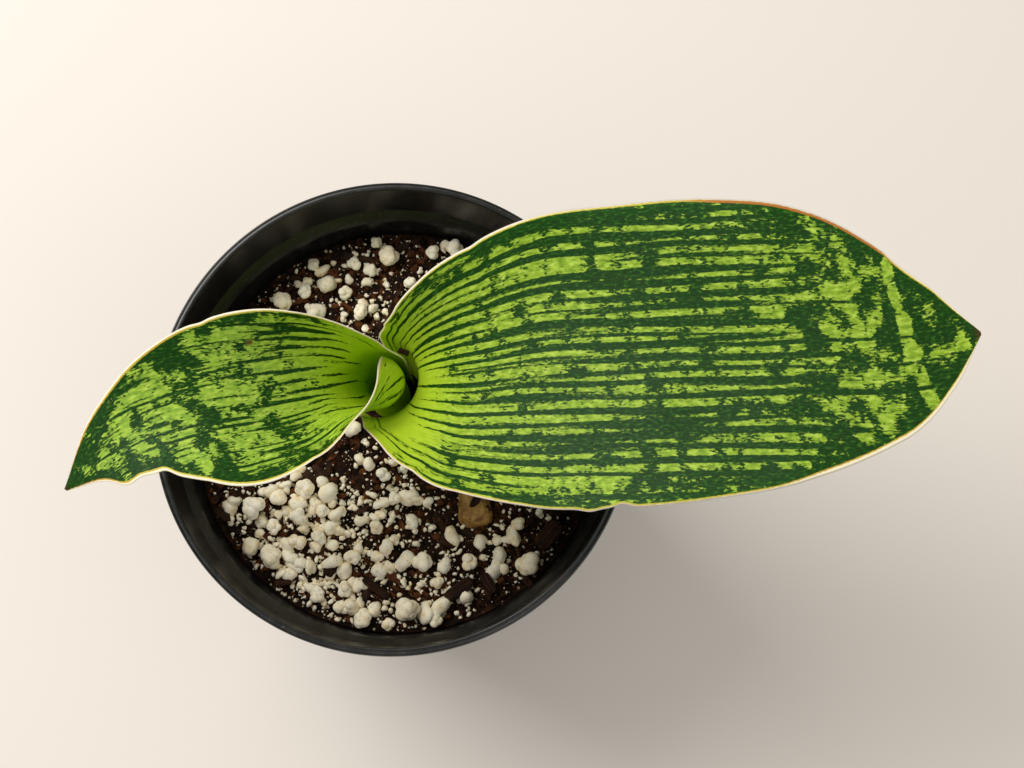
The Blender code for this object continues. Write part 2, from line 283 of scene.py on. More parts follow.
def many_closed(name: str, rings: np.ndarray, smooth: bool = True) -> bpy.types.Object:
    """Joins many pole-closed grids of one layout into one mesh.

    Args:
        name: the piece's name.
        rings: (count, rows, columns, 3) points in millimetres.
        smooth: whether faces shade smoothly.

    Returns:
        The mesh object. Its vertices keep the grains' order.
    """
    count = len(rings)
    one, quads, triangles = closed_by_poles(rings[0])
    points = np.concatenate([rings[:, 1:-1].reshape(count, -1, 3), rings[:, :1, 0], rings[:, -1:, 0]], 1)
    quads, triangles = facing_out(one - one.mean(0), quads, triangles)
    shift = (np.arange(count) * len(one))[:, None, None]
    return fill_mesh(name, points.reshape(-1, 3), (quads[None] + shift).reshape(-1, 4),
                     (triangles[None] + shift).reshape(-1, 3), smooth)


def one_closed(name: str, rings: np.ndarray) -> tuple[bpy.types.Object, np.ndarray]:
    """Closes one grid at its poles, turns its faces outwards and makes it a piece.

    Args:
        name: the piece's name.
        rings: (rows, columns, 3) points in millimetres.

    Returns:
        The mesh object and its points.
    """
    points, quads, triangles = closed_by_poles(rings)
    return fill_mesh(name, points, *facing_out(points - points.mean(0), quads, triangles)), points


def finish_piece(piece: bpy.types.Object, material: bpy.types.Material, slot: Slot, *nodes: str) -> None:
    """Dresses a piece, hangs it on the body and hides the CAD nodes it stands for.

    Args:
        piece: the finished mesh object.
        material: its finish.
        slot: the record's slot; not used.
        nodes: CAD nodes it replaces.
    """
    piece.data.materials.clear()
    piece.data.materials.append(material)
    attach(piece, Body.WHOLE.value)
    if nodes:
        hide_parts(*nodes)
    LOG.info("%s: %d faces", piece.name, len(piece.data.polygons))


# ------------------------------------------------------------ material tools


def linear(code: str) -> tuple[float, float, float, float]:
    """Turns an sRGB hex colour to linear light.

    Args:
        code: six hex digits.

    Returns:
        Red, green, blue and full alpha.
    """
    parts = [int(code[i:i + 2], 16) / 255 for i in (0, 2, 4)]
    return tuple(p / 12.92 if p <= 0.04045 else ((p + 0.055) / 1.055) ** 2.4 for p in parts) + (1.0,)


def set_inputs(tree: bpy.types.NodeTree, node: bpy.types.Node, values: dict[Any, Any]) -> None:
    """Gives a node's inputs their values, and links those that come from elsewhere.

    Args:
        tree: the material's tree.
        node: the node.
        values: for each input, by name or number, a value, a socket, or a node, which stands for
            its result: the colour of a colour mix, or else its first output.
    """
    for key, value in values.items():
        if isinstance(value, bpy.types.Node):
            value = value.outputs[2 if value.bl_idname == "ShaderNodeMix" else 0]
        if isinstance(value, bpy.types.NodeSocket):
            tree.links.new(value, node.inputs[key])
        else:
            node.inputs[key].default_value = value


def add_node(tree: bpy.types.NodeTree, kind: str, inputs: dict[Any, Any] | None = None,
             stops: tuple[tuple[float, str], ...] = (), **settings: Any) -> bpy.types.Node:
    """Adds a node with its settings, values and links.

    Args:
        tree: the material's tree.
        kind: the node's type, without the ShaderNode before it.
        inputs: what set_inputs gives it.
        stops: places and hex colours, for a colour ramp.
        settings: the node's own properties.

    Returns:
        The node.
    """
    node = tree.nodes.new("ShaderNode" + kind)
    for name, value in settings.items():
        setattr(node, name, value)
    set_inputs(tree, node, inputs or {})
    if stops:
        ramp = node.color_ramp
        while len(ramp.elements) < len(stops):
            ramp.elements.new(0.5)
        for element, (place, code) in zip(ramp.elements, stops):
            element.position, element.color = place, linear(code)
    return node


def wire(tree: bpy.types.NodeTree, shader: bpy.types.Node, colour: Any, height: Any, strength: float,
         depth_mm: float, levels: dict[str, Any]) -> None:
    """Wires a shader's colour and its bump, and gives its other inputs their values.

    Args:
        tree: the material's tree.
        shader: the Principled shader.
        colour: its base colour.
        height: the bump's height.
        strength: the bump's strength.
        depth_mm: the bump's depth in millimetres.
        levels: the other inputs.
    """
    bump = add_node(tree, "Bump", {"Height": height, "Strength": strength, "Distance": depth_mm * MM})
    set_inputs(tree, shader, {"Base Color": colour, "Normal": bump, **levels})


def new_material(name: str) -> tuple[bpy.types.Material, partial, partial]:
    """An empty node material whose Principled shader feeds the output.

    Args:
        name: what the real material is.

    Returns:
        The material, add_node for its tree, and wire for its shader.
    """
    material = bpy.data.materials.new(name)
    material.use_nodes = True
    tree = material.node_tree
    tree.nodes.clear()
    shader = add_node(tree, "BsdfPrincipled")
    add_node(tree, "OutputMaterial", {"Surface": shader})
    return material, partial(add_node, tree), partial(wire, tree, shader)


# ------------------------------------------------------------------ finishes


@dataclass(frozen=True)
class LeafSkin:
    """Banded sansevieria skin: a waxy cuticle over dark green, with light bands and a pale margin."""

    name: str
    seed: float
    dark: str = "0C3002"
    flecks: tuple[str, str, str] = ("133E08", "2D5B12", "507F26")
    light: str = "88A82C"
    bright: str = "B2CC56"
    deep_light: str = "628422"
    # the young tissue's yellow-green, made brighter as a painted glow of light through the rolled base
    young_and_glow: str = "ACC828"
    cream: str = "F3EACB"
    line: str = "C6B848"
    orange: str = "A8602F"
    scar: str = "4E2214"
    stripe_mm: float = 3.9
    stripe_length_mm: float = 80.0
    stripe_share: float = 0.30
    patch_mm: tuple[float, float] = (6.0, 7.0)
    patch_gain: float = 3.1

    def streaks(self, node: partial, strand: bpy.types.NodeSocket, along_mm: float, across_mm: float,
                slant: float, detail: float, offset: float) -> bpy.types.Node:
        """Noise stretched along the strands: along + slant, across, in cells of the given sizes.

        Args:
            node: adds a node to the skin's tree.
            strand: the place along, across, and along the slanted way, in millimetres.
            along_mm: cell length.
            across_mm: cell width.
            slant: share of the slanted coordinate used in place of the straight one.
            detail: finer noises added.
            offset: keeps one pattern unlike another.

        Returns:
            The noise.
        """
        cells = ((1 - slant) / along_mm, 1 / across_mm, slant / along_mm)
        scaled = node("VectorMath", {0: strand, 1: cells}, operation="MULTIPLY")
        straight, across, slanted = node("SeparateXYZ", {0: scaled}).outputs
        run = node("Math", {0: straight, 1: slanted}, operation="ADD")
        place = node("CombineXYZ", {0: run, 1: across, 2: self.seed + offset})
        return node("TexNoise", {"Vector": place, "Scale": 1.0, "Detail": detail, "Roughness": 0.5})

    def banded(self, node: partial, streaks: partial, fray: bpy.types.Node,
               across: bpy.types.NodeSocket, levels: tuple[bpy.types.NodeSocket, ...]) -> bpy.types.Node:
        """Where the skin is light: a wave across the strands under long uneven noise, cut by cross
        patches. Each of the two is lifted by its level and frayed, and the lower of them is taken.

        Args:
            node: adds a node to the skin's tree.
            streaks: makes a noise along the strands.
            fray: the noise that feathers edges.
            across: the place across the strands.
            levels: the stripes' and the cross bands' levels.

        Returns:
            A mask from 0, dark, to 1, light.
        """
        uneven = streaks(self.stripe_length_mm, self.stripe_mm * 0.62, 0.0, 1.6, 3.0)
        wander = streaks(self.stripe_length_mm * 0.8, self.stripe_mm * 4.0, 0.0, 1.0, 7.0)
        drift = node("Math", {0: wander, 1: 9.0, 2: self.seed}, operation="MULTIPLY_ADD")
        phase = node("Math", {0: across, 1: 2 * math.pi / self.stripe_mm, 2: drift}, operation="MULTIPLY_ADD")
        wave = node("Math", {0: phase}, operation="SINE")
        lowered = node("Math", {0: wave, 1: self.stripe_share, 2: -1.25}, operation="MULTIPLY_ADD")
        stripes = node("Math", {0: uneven, 1: 2.5, 2: lowered}, operation="MULTIPLY_ADD")
        cross = streaks(*self.patch_mm, 1.0, 3.5, 23.0)
        patches = node("Math", {0: cross, 1: self.patch_gain, 2: -self.patch_gain / 2},
                       operation="MULTIPLY_ADD")
        frayed = []
        for pattern, level, gain in ((stripes, levels[0], 0.75), (patches, levels[1], 1.6)):
            lifted = node("Math", {0: pattern, 1: level}, operation="ADD")
            feather = node("Math", {0: fray, 1: gain, 2: -gain / 2}, operation="MULTIPLY_ADD")
            frayed.append(node("Math", {0: lifted, 1: feather}, operation="ADD"))
        both = node("Math", {0: frayed[0], 1: frayed[1], 2: 0.08}, operation="SMOOTH_MIN")
        return node("MapRange", {"Value": both, "From Min": -0.08, "From Max": 0.14},
                    interpolation_type="SMOOTHSTEP")

    def build(self) -> bpy.types.Material:
        """Stripes and cross bands drawn from the blade's own strand, banding and rim attributes.

        Returns:
            The material.
        """
        material, node, wire_shader = new_material(self.name)
        strand, banding, rim = (node("Attribute", attribute_name=name).outputs["Vector"]
                                for name in ("strand", "banding", "rim"))
        across = node("SeparateXYZ", {0: strand}).outputs[1]
        stripe_level, cross_level, youth_and_glow = node("SeparateXYZ", {0: banding}).outputs
        past_cream, past_line, orange = node("SeparateXYZ", {0: rim}).outputs
        streaks = partial(self.streaks, node, strand)

        # feathering about 1 mm long frays the edge of every patch
        fray = streaks(1.5, 0.65, 0.0, 3.5, 11.0)
        light = self.banded(node, streaks, fray, across, (stripe_level, cross_level))
        # mossy mottling 1 to 3 mm across inside the light bands
        moss = streaks(2.6, 1.3, 0.3, 4.0, 41.0)
        mottled = node("ValToRGB", {0: moss}, ((0.30, self.deep_light), (0.48, self.light), (0.70, self.bright)))
        # towards the rolled base the young tissue's yellow-green takes over, brightened as a painted glow of light
        # shining through the leaf
        warm = node("Mix", {0: youth_and_glow, 6: mottled, 7: linear(self.young_and_glow)}, data_type="RGBA")
        # pale flecks under 1 mm scattered over the dark ground
        fleck = streaks(1.7, 0.8, 0.0, 3.0, 57.0)
        ground = node("ValToRGB", {0: fleck}, tuple(zip((0.30, 0.54, 0.64, 0.76), (self.dark, *self.flecks))))
        colour = node("Mix", {0: light, 6: ground, 7: warm}, data_type="RGBA")

        # the margin: a thin line inside, a cream cartilage edge outside, then the browned spots
        waver = node("Math", {0: fray, 1: 0.5, 2: -0.25}, operation="MULTIPLY_ADD")
        masks = []
        for distance, soft in ((past_line, 0.14), (past_cream, 0.12)):
            edge = node("Math", {0: distance, 1: waver}, operation="ADD")
            masks.append(node("MapRange", {"Value": edge, "From Min": soft, "From Max": -soft},
                              interpolation_type="SMOOTHSTEP"))
        line = node("Mix", {0: orange, 6: linear(self.line), 7: linear(self.orange)}, data_type="RGBA")
        spots = node("Attribute", attribute_name="brown").outputs["Fac"]
        for mask, over in ((masks[0], line), (masks[1], linear(self.cream)), (spots, linear(self.scar))):
            colour = node("Mix", {0: mask, 6: colour, 7: over}, data_type="RGBA")

        # veins 0.5 mm apart, too shallow to see singly, break the shine into a satin
        veins = streaks(70.0, 0.5, 0.0, 1.0, 71.0)
        swell = streaks(14.0, 6.0, 0.0, 2.0, 83.0)
        height = node("Math", {0: swell, 1: 3.0, 2: veins}, operation="MULTIPLY_ADD")
        gloss = node("MapRange", {"Value": moss, "From Min": 0.3, "From Max": 0.7, "To Min": 0.44, "To Max": 0.58})
        # light soaks a few millimetres into the blade and glows through where it is thin
        wire_shader(colour, height, 0.30, 0.16, {
            "Roughness": gloss, "IOR": 1.45, "Specular IOR Level": 0.16, "Subsurface Weight": 0.35,
            "Subsurface Radius": (0.7, 1.0, 0.25), "Subsurface Scale": 3.0 * MM})
        return material


@dataclass(frozen=True)
class PotPlastic:
    """Black polypropylene, injection moulded: soft gloss, fine pits, dust where the mix was handled and a painted
    sheen on faces that look up.
    """

    black: str = "0B0C0D"
    grey: str = "141517"
    dust_and_sheen: str = "55534E"

    def build(self) -> bpy.types.Material:
        """Black with clouding, pale dust specks 0.3 to 1 mm, a film of dust and painted sheen on faces that look
        up, and an orange-peel bump.

        Returns:
            The material.
        """
        material, node, wire_shader = new_material("moulded_polypropylene")
        place = node("TexCoord").outputs["Object"]
        cloud = node("TexNoise", {"Vector": place, "Scale": 60.0, "Detail": 4.0})
        ground = node("ValToRGB", {0: cloud}, ((0.35, self.black), (0.70, self.grey)))
        # noise 1 mm across of which only the peaks are lit, for dust and flecks of mix
        speck = node("TexNoise", {"Vector": place, "Scale": 1100.0, "Detail": 2.0})
        specks = node("MapRange", {"Value": speck, "From Min": 0.64, "From Max": 0.74, "To Max": 0.75})
        # a film of dust with a painted sheen, thickest and palest on faces that look up
        film = node("TexNoise", {"Vector": place, "Scale": 170.0, "Detail": 3.0})
        filmed = node("MapRange", {"Value": film, "From Min": 0.45, "From Max": 0.75, "To Max": 0.22})
        up = node("SeparateXYZ", {0: node("NewGeometry").outputs["Normal"]}).outputs[2]
        # painted sheen: faces that look up are made paler, as where the light falls on their tops; the rest of this
        # film is dust
        flat = node("MapRange", {"Value": up, "From Min": 0.5, "From Max": 1.0, "To Min": 0.35, "To Max": 1.0})
        top_dust_and_sheen = node("Math", {0: filmed, 1: flat}, operation="MULTIPLY")
        dust_and_sheen_mask = node("Math", {0: specks, 1: top_dust_and_sheen}, operation="MAXIMUM")
        colour = node("Mix", {0: dust_and_sheen_mask, 6: ground, 7: linear(self.dust_and_sheen)}, data_type="RGBA")
        peel = node("TexNoise", {"Vector": place, "Scale": 1500.0, "Detail": 1.0})
        gloss = node("MapRange", {"Value": dust_and_sheen_mask, "To Min": 0.30, "To Max": 0.75})
        wire_shader(colour, peel, 0.18, 0.1, {"Roughness": gloss, "IOR": 1.49})
        return material


@dataclass(frozen=True)
class MixFinish:
    """Damp peat and composted bark: near black, with rust-brown fibres and a few grey grains."""

    name: str
    colours: tuple[str, str, str, str] = ("0C0704", "1E1108", "392011", "5C3517")
    grit: str = "A58F66"
    grain_mm: float = 1.6

    def build(self) -> bpy.types.Material:
        """Brown crumbs by noise, paler grit by small cells, a tone per grain where one is stored.

        Returns:
            The material.
        """
        material, node, wire_shader = new_material(self.name)
        place = node("TexCoord").outputs["Object"]
        scale = 1 / MM / self.grain_mm
        crumb = node("TexNoise", {"Vector": place, "Scale": scale * 0.6, "Detail": 5.0, "Roughness": 0.65})
        tone = node("Attribute", attribute_name="tone").outputs["Fac"]
        mixed = node("Math", {0: tone, 1: 0.34, 2: crumb}, operation="MULTIPLY_ADD")
        brown = node("ValToRGB", {0: mixed}, tuple(zip((0.34, 0.50, 0.62, 0.80), self.colours)))
        cell = node("TexVoronoi", {"Vector": place, "Scale": scale * 0.9})
        pick = node("SeparateXYZ", {0: cell.outputs["Color"]}).outputs[0]
        chosen = node("Math", {0: pick, 1: 0.955}, operation="GREATER_THAN")
        core = node("Math", {0: cell.outputs["Distance"], 1: 0.30}, operation="LESS_THAN")
        grit = node("Math", {0: chosen, 1: core}, operation="MULTIPLY")
        colour = node("Mix", {0: grit, 6: brown, 7: linear(self.grit)}, data_type="RGBA")
        wire_shader(colour, crumb, 0.8, 0.5, {"Roughness": 0.88, "Specular IOR Level": 0.15})
        return material


@dataclass(frozen=True)
class PerliteFinish:
    """Expanded volcanic glass: warm white foam with open pores darkened by painted shade, and stains of peat."""

    colours: tuple[str, str, str, str] = ("CDAF77", "F3E1B6", "FFF3D6", "FFFAE6")
    pore_shade: str = "7A6548"

    def build(self) -> bpy.types.Material:
        """White to cream by noise, pores 0.4 mm across by cells darkened as painted shade, brown stain in patches.

        Returns:
            The material.
        """
        material, node, wire_shader = new_material("expanded_perlite")
        place = node("TexCoord").outputs["Object"]
        cloud = node("TexNoise", {"Vector": place, "Scale": 420.0, "Detail": 4.0})
        tone = node("Attribute", attribute_name="tone").outputs["Fac"]
        mixed = node("Math", {0: tone, 1: 0.22, 2: cloud}, operation="MULTIPLY_ADD")
        white = node("ValToRGB", {0: mixed}, tuple(zip((0.26, 0.38, 0.54, 0.80), self.colours)))
        # pores are drawn 0.9 mm apart, coarser than the real foam's, so that they show; their darkening is painted
        # shade in the hollows
        cell = node("TexVoronoi", {"Vector": place, "Scale": 1150.0, "Randomness": 1.0})
        deep_shade = node("MapRange", {"Value": cell.outputs["Distance"], "From Min": 0.26, "From Max": 0.12,
                                 "To Max": 0.65})
        pick = node("SeparateXYZ", {0: cell.outputs["Color"]}).outputs[1]
        some = node("Math", {0: pick, 1: 0.62}, operation="GREATER_THAN")
        shaded_pit = node("Math", {0: deep_shade, 1: some}, operation="MULTIPLY")
        colour = node("Mix", {0: shaded_pit, 6: white, 7: linear(self.pore_shade)}, data_type="RGBA")
        height = node("Math", {0: shaded_pit, 1: -1.2, 2: cloud}, operation="MULTIPLY_ADD")
        wire_shader(colour, height, 0.6, 0.35, {"Roughness": 0.85, "Specular IOR Level": 0.35})
        return material


@dataclass(frozen=True)
class BarkFinish:
    """Composted pine bark: layered corky plates, umber to rust, dull with a resinous fleck."""

    colours: tuple[str, str, str, str] = ("100905", "25160C", "432816", "633C22")

    def build(self) -> bpy.types.Material:
        """Grain stretched along each chip's own length, umber to rust, with a layered bump.

        Returns:
            The material.
        """
        material, node, wire_shader = new_material("composted_pine_bark")
        grain = node("Attribute", attribute_name="grain_mm").outputs["Vector"]
        # fibres 0.6 mm thick and 7 mm long
        scaled = node("VectorMath", {0: grain, 1: (0.14, 1.3, 1.6)}, operation="MULTIPLY")
        fibre = node("TexNoise", {"Vector": scaled, "Scale": 1.0, "Detail": 5.0, "Roughness": 0.6})
        colour = node("ValToRGB", {0: fibre}, tuple(zip((0.34, 0.50, 0.64, 0.80), self.colours)))
        wire_shader(colour, fibre, 0.8, 0.6, {"Roughness": 0.78, "Specular IOR Level": 0.15})
        return material


@dataclass(frozen=True)
class RhizomeSkin:
    """A rhizome's tip: firm golden tan skin, clouded and pitted."""

    colours: tuple[str, str, str, str] = ("4E3216", "8E6630", "B58D48", "D2AE66")
    # the colour of painted shade in the pits
    shaded_pit: str = "5C3A1C"

    def build(self) -> bpy.types.Material:
        """Tan clouding, and pits drawn 1.6 mm apart by cells, darkened as painted shade.

        Returns:
            The material.
        """
        material, node, wire_shader = new_material("rhizome_skin")
        place = node("TexCoord").outputs["Object"]
        cloud = node("TexNoise", {"Vector": place, "Scale": 330.0, "Detail": 5.0, "Roughness": 0.6})
        tan = node("ValToRGB", {0: cloud}, tuple(zip((0.30, 0.45, 0.60, 0.78), self.colours)))
        cell = node("TexVoronoi", {"Vector": place, "Scale": 620.0})
        # painted shade: the pits are darkened where the bump sinks them
        shaded_pit = node("MapRange", {"Value": cell.outputs["Distance"], "From Min": 0.30, "From Max": 0.10,
                                "To Max": 0.7})
        colour = node("Mix", {0: shaded_pit, 6: tan, 7: linear(self.shaded_pit)}, data_type="RGBA")
        height = node("Math", {0: shaded_pit, 1: -1.0, 2: cloud}, operation="MULTIPLY_ADD")
        wire_shader(colour, height, 0.7, 0.5, {
            "Roughness": 0.58, "Subsurface Weight": 0.08, "Subsurface Scale": 1.5 * MM})
        return material


# ------------------------------------------------------------------- the pot


@dataclass(frozen=True)
class NurseryPot:
    """The 6 inch pot: a tapered side, a ledge inside, a collar above it and a flat lip."""

    foot_radius: float = 56.5
    foot_height: float = 3.0
    ledge_height: float = 117.0
    ledge_radius: float = 72.6
    wall: float = 1.4
    floor: float = 1.6
    ease: float = 0.35
    drain_radius: float = 4.5
    drain_circle: float = 40.0
    drain_holes: int = 4
    drain_steps: int = 40
    steps: int = 288
    sharp_degrees: float = 38.0

    def outer_radius(self, z: float | np.ndarray) -> float | np.ndarray:
        """Radius of the tapered side's outer face at a height."""
        slope = (self.ledge_radius - self.foot_radius) / (self.ledge_height - self.foot_height)
        return self.foot_radius + slope * (z - self.foot_height)

    def inner_radius(self, z: float | np.ndarray) -> float | np.ndarray:
        """Radius of the tapered side's inner face at a height."""
        return self.outer_radius(z) - self.wall

    def profile(self) -> np.ndarray:
        """Radius and height from the middle of the floor, up the inside, over the lip and down outside.

        Returns:
            (n, 2) points with every corner eased by a quadratic curve, which starts 0.3 of the
            shorter side away from the corner or ease away, whichever is less.
        """
        i, o, floor = self.inner_radius, self.outer_radius, self.floor
        inside = [(0, floor), (i(floor) - 2.4, floor), (i(2.4) - 0.8, 2.4), (i(3.6), 3.6), (i(60), 60),
                  (i(115.6), 115.6), (i(117) + 0.4, 116.8), (73.2, 119.2), (74.0, 120.2), (75.0, 135.4)]
        # two low beads with a shallow groove between them
        lip = [(75.3, 139.2), (75.5, 140.1), (75.9, 140.3), (76.3, 139.9), (77.1, 139.8),
               (77.4, 140.1), (77.8, 139.9), (78, 139.3)]
        outside = [(78, 136.5), (76.6, 135.8), (75.4, 118.5), (74.6, 117.8), (o(117) + 0.2, 117.4),
                   (o(116.4), 116.4), (o(60), 60), (self.foot_radius, self.foot_height),
                   (55.5, 0.8), (54.7, 0), (0, 0)]
        corners = np.array(inside + lip + outside)
        middle = corners[1:-1]
        back, on = corners[:-2] - middle, corners[2:] - middle
        shorter = np.minimum(np.linalg.norm(back, axis=1), np.linalg.norm(on, axis=1))
        reach = np.minimum(shorter * 0.3, self.ease)
        t = np.array([0.0, 0.5, 1.0])[:, None, None]
        start = middle + unit(back) * reach[:, None]
        end = middle + unit(on) * reach[:, None]
        eased = (1 - t) ** 2 * start + 2 * t * (1 - t) * middle + t**2 * end
        return np.concatenate([corners[:1], eased.transpose(1, 0, 2).reshape(-1, 2), corners[-1:]])

    def build(self, material: bpy.types.Material) -> None:
        """Turns the profile, cuts the drain holes and dresses the pot.

        Point (i, j) is the profile's radius turned by 2*pi*j/steps, at its height.

        Args:
            material: the plastic.
        """
        profile = self.profile()
        turn = 2 * np.pi * np.arange(self.steps) / self.steps
        rings = np.stack([profile[:, :1] * np.cos(turn), profile[:, :1] * np.sin(turn),
                          np.repeat(profile[:, 1:], self.steps, 1)], -1)
        pot, _ = one_closed("nursery_pot", rings)
        self.drill(pot)
        pot.data.set_sharp_from_angle(angle=math.radians(self.sharp_degrees))
        finish_piece(pot, material, Slot.PLASTIC, "pot")

    def drill(self, pot: bpy.types.Object) -> None:
        """Cuts the drain holes through the floor with round cutters and keeps the result.

        Args:
            pot: the turned pot.
        """
        middle = 2 * np.pi * (np.arange(self.drain_holes) + 0.5) / self.drain_holes
        turn = 2 * np.pi * np.arange(self.drain_steps) / self.drain_steps
        radius = np.array([0, 1, 1, 0]) * self.drain_radius
        height = np.array([-2.0, -2.0, 4.0, 4.0])
        ring = np.stack([radius[:, None] * np.cos(turn), radius[:, None] * np.sin(turn),
                         np.repeat(height[:, None], self.drain_steps, 1)], -1)
        spots = np.stack([np.cos(middle), np.sin(middle), np.zeros(self.drain_holes)], -1) * self.drain_circle
        cutter = many_closed("drain_cutter", ring[None] + spots[:, None, None], smooth=False)
        cut = pot.modifiers.new("drain", "BOOLEAN")
        cut.object, cut.operation, cut.solver = cutter, "DIFFERENCE", "EXACT"
        ready = pot.evaluated_get(bpy.context.evaluated_depsgraph_get())
        drilled = bpy.data.meshes.new_from_object(ready)
        pot.modifiers.clear()
        pot.data = drilled
        bpy.data.objects.remove(cutter)


# ------------------------------------------------------- the mix and its grains


@dataclass(frozen=True)
class PottingMix:
    """The bed of mix, with the crumbs, shards, slivers and fibres that lie on it.

    edge is the bed's height at the wall, crown how much it rises to the middle, gap its distance
    from the wall, and stem the plant's x and y.
    """

    pot: NurseryPot
    edge: float = 106.0
    crown: float = 2.6
    gap: float = 0.35
    turns: int = 400
    circles: int = 200
    stem: tuple[float, float] = (-0.5, 10.0)
    crumbs: int = 1500
    shards: int = 520
    slivers: int = 110
    fibres: int = 160
    seed: int = 7

    @property
    def wall_radius(self) -> float:
        """Radius of the pot's inside at the bed's edge."""
        return self.pot.inner_radius(self.edge)

    def height(self, x: np.ndarray, y: np.ndarray) -> np.ndarray:
        """Height of the bed: a low crown, lumps of 16, 5 and 2 mm, and a mound round the stem.

        Args:
            x: places across.
            y: places back.

        Returns:
            Heights in millimetres.
        """
        out = np.hypot(x, y) / self.wall_radius
        at = np.stack([x, y, np.zeros_like(x)], -1)
        lumps = (1.3 * rough(at, 16.0, 3, 2) + 1.1 * rough(at, 5.0, 9, 2)
                 + 0.6 * np.abs(rough(at, 2.1, 15, 2)))
        mound = 3.0 * np.exp(-((np.hypot(x - self.stem[0], y - self.stem[1]) / 20.0) ** 4))
        return self.edge - 0.6 + self.crown * (1 - out**2) + lumps * 0.85 + mound

    def build_bed(self, material: bpy.types.Material) -> None:
        """The bed as one closed surface: radius grows to the wall, runs down it and back to the axis.

        Args:
            material: the mix.
        """
        turn = 2 * np.pi * np.arange(self.turns) / self.turns
        radius = (self.wall_radius - self.gap) * np.linspace(0, 1, self.circles) ** 0.9
        x, y = radius[:, None] * np.cos(turn), radius[:, None] * np.sin(turn)
        top = np.stack([x, y, self.height(x, y)], -1)
        depth = np.linspace(self.edge - 4, self.pot.floor + 0.3, 8)
        side = self.pot.inner_radius(depth) - self.gap
        side[-1] -= 2.4  # clear of the slope round the floor
        down = np.stack([side[:, None] * np.cos(turn), side[:, None] * np.sin(turn),
                         np.repeat(depth[:, None], self.turns, 1)], -1)
        under = [down[-1:] * np.array([share, share, 1.0]) for share in (0.5, 0.0)]
        bed, points = one_closed("potting_mix_bed", np.concatenate([top, down, *under]))
        store(bed, "tone", np.zeros(len(points)))
        finish_piece(bed, material, Slot.MIX, "soil")

    def free_places(self, count: int, random: np.random.Generator) -> np.ndarray:
        """Places spread over the bed, clear of the stem and the wall.

        Args:
            count: how many.
            random: the seeded source.

        Returns:
            (count, 2) places.
        """
        radius = (self.wall_radius - 2.0) * np.sqrt(random.random(count * 2))
        turn = 2 * np.pi * random.random(count * 2)
        places = np.stack([radius * np.cos(turn), radius * np.sin(turn)], -1)
        clear = np.hypot(places[:, 0] - self.stem[0], places[:, 1] - self.stem[1]) > 15
        return places[clear][:count]

    def build_grains(self, material: bpy.types.Material, rust: bpy.types.Material,
                     bark: bpy.types.Material, charred: bpy.types.Material) -> None:
        """Crumbs, rust-brown shards, dark slivers and fibres lying on the bed.

        A crumb is a sphere grid whose radius is shaken at random, squashed and turned. A shard or a
        sliver is the same grid stretched to a splinter that lies nearly flat.

        Args:
            material: the mix, for crumbs.
            rust: the redder mix, for shards.
            bark: the bark, for fibres.
            charred: the dark bark, for slivers.
        """
        random = np.random.default_rng(self.seed)
        for name, count, low, high, stretch, finish, slot in (
                ("mix_crumbs", self.crumbs, 0.5, 1.9, (1.0, 0.8, 0.6), material, Slot.MIX),
                ("mix_shards", self.shards, 0.5, 1.8, (2.2, 0.7, 0.35), rust, Slot.MIX),
                ("mix_slivers", self.slivers, 1.0, 3.0, (2.1, 0.7, 0.45), charred, Slot.BARK)):
            places = self.free_places(count, random)
            size = low + (high - low) * random.random(count) ** 2.2
            grid = directions(5, 7)
            shake = 1 + 0.28 * random.normal(size=(count, 5, 7, 1)).clip(-1.5, 1.5)
            shake[:, [0, -1]] = shake[:, [0, -1], :1]
            shape = grid[None] * shake * np.array(stretch) * size[:, None, None, None]
            tilt = random_turns(count, random) if name == "mix_crumbs" else self.lying(count, random)
            shape = np.einsum("nij,nrcj->nrci", tilt, shape)
            z = self.height(places[:, 0], places[:, 1]) + size * 0.35
            shape += np.concatenate([places, z[:, None]], -1)[:, None, None]
            piece = many_closed(name, shape, smooth=False)
            store(piece, "tone", np.repeat(random.random(count), len(piece.data.vertices) // count))
            finish_piece(piece, finish, slot)
        self.build_fibres(bark, random)

    def lying(self, count: int, random: np.random.Generator) -> np.ndarray:
        """Turns about the upright axis with a small tilt, for flat grains.

        Args:
            count: how many.
            random: the seeded source.

        Returns:
            (count, 3, 3) matrices.
        """
        turn, tilt = 2 * np.pi * random.random(count), random.normal(size=count) * 0.35
        c, s, ct, st, zero = np.cos(turn), np.sin(turn), np.cos(tilt), np.sin(tilt), np.zeros(count)
        spin = np.stack([c, -s, zero, s, c, zero, zero, zero, zero + 1], -1).reshape(-1, 3, 3)
        lean = np.stack([ct, zero, st, zero, zero + 1, zero, -st, zero, ct], -1).reshape(-1, 3, 3)
        return spin @ lean

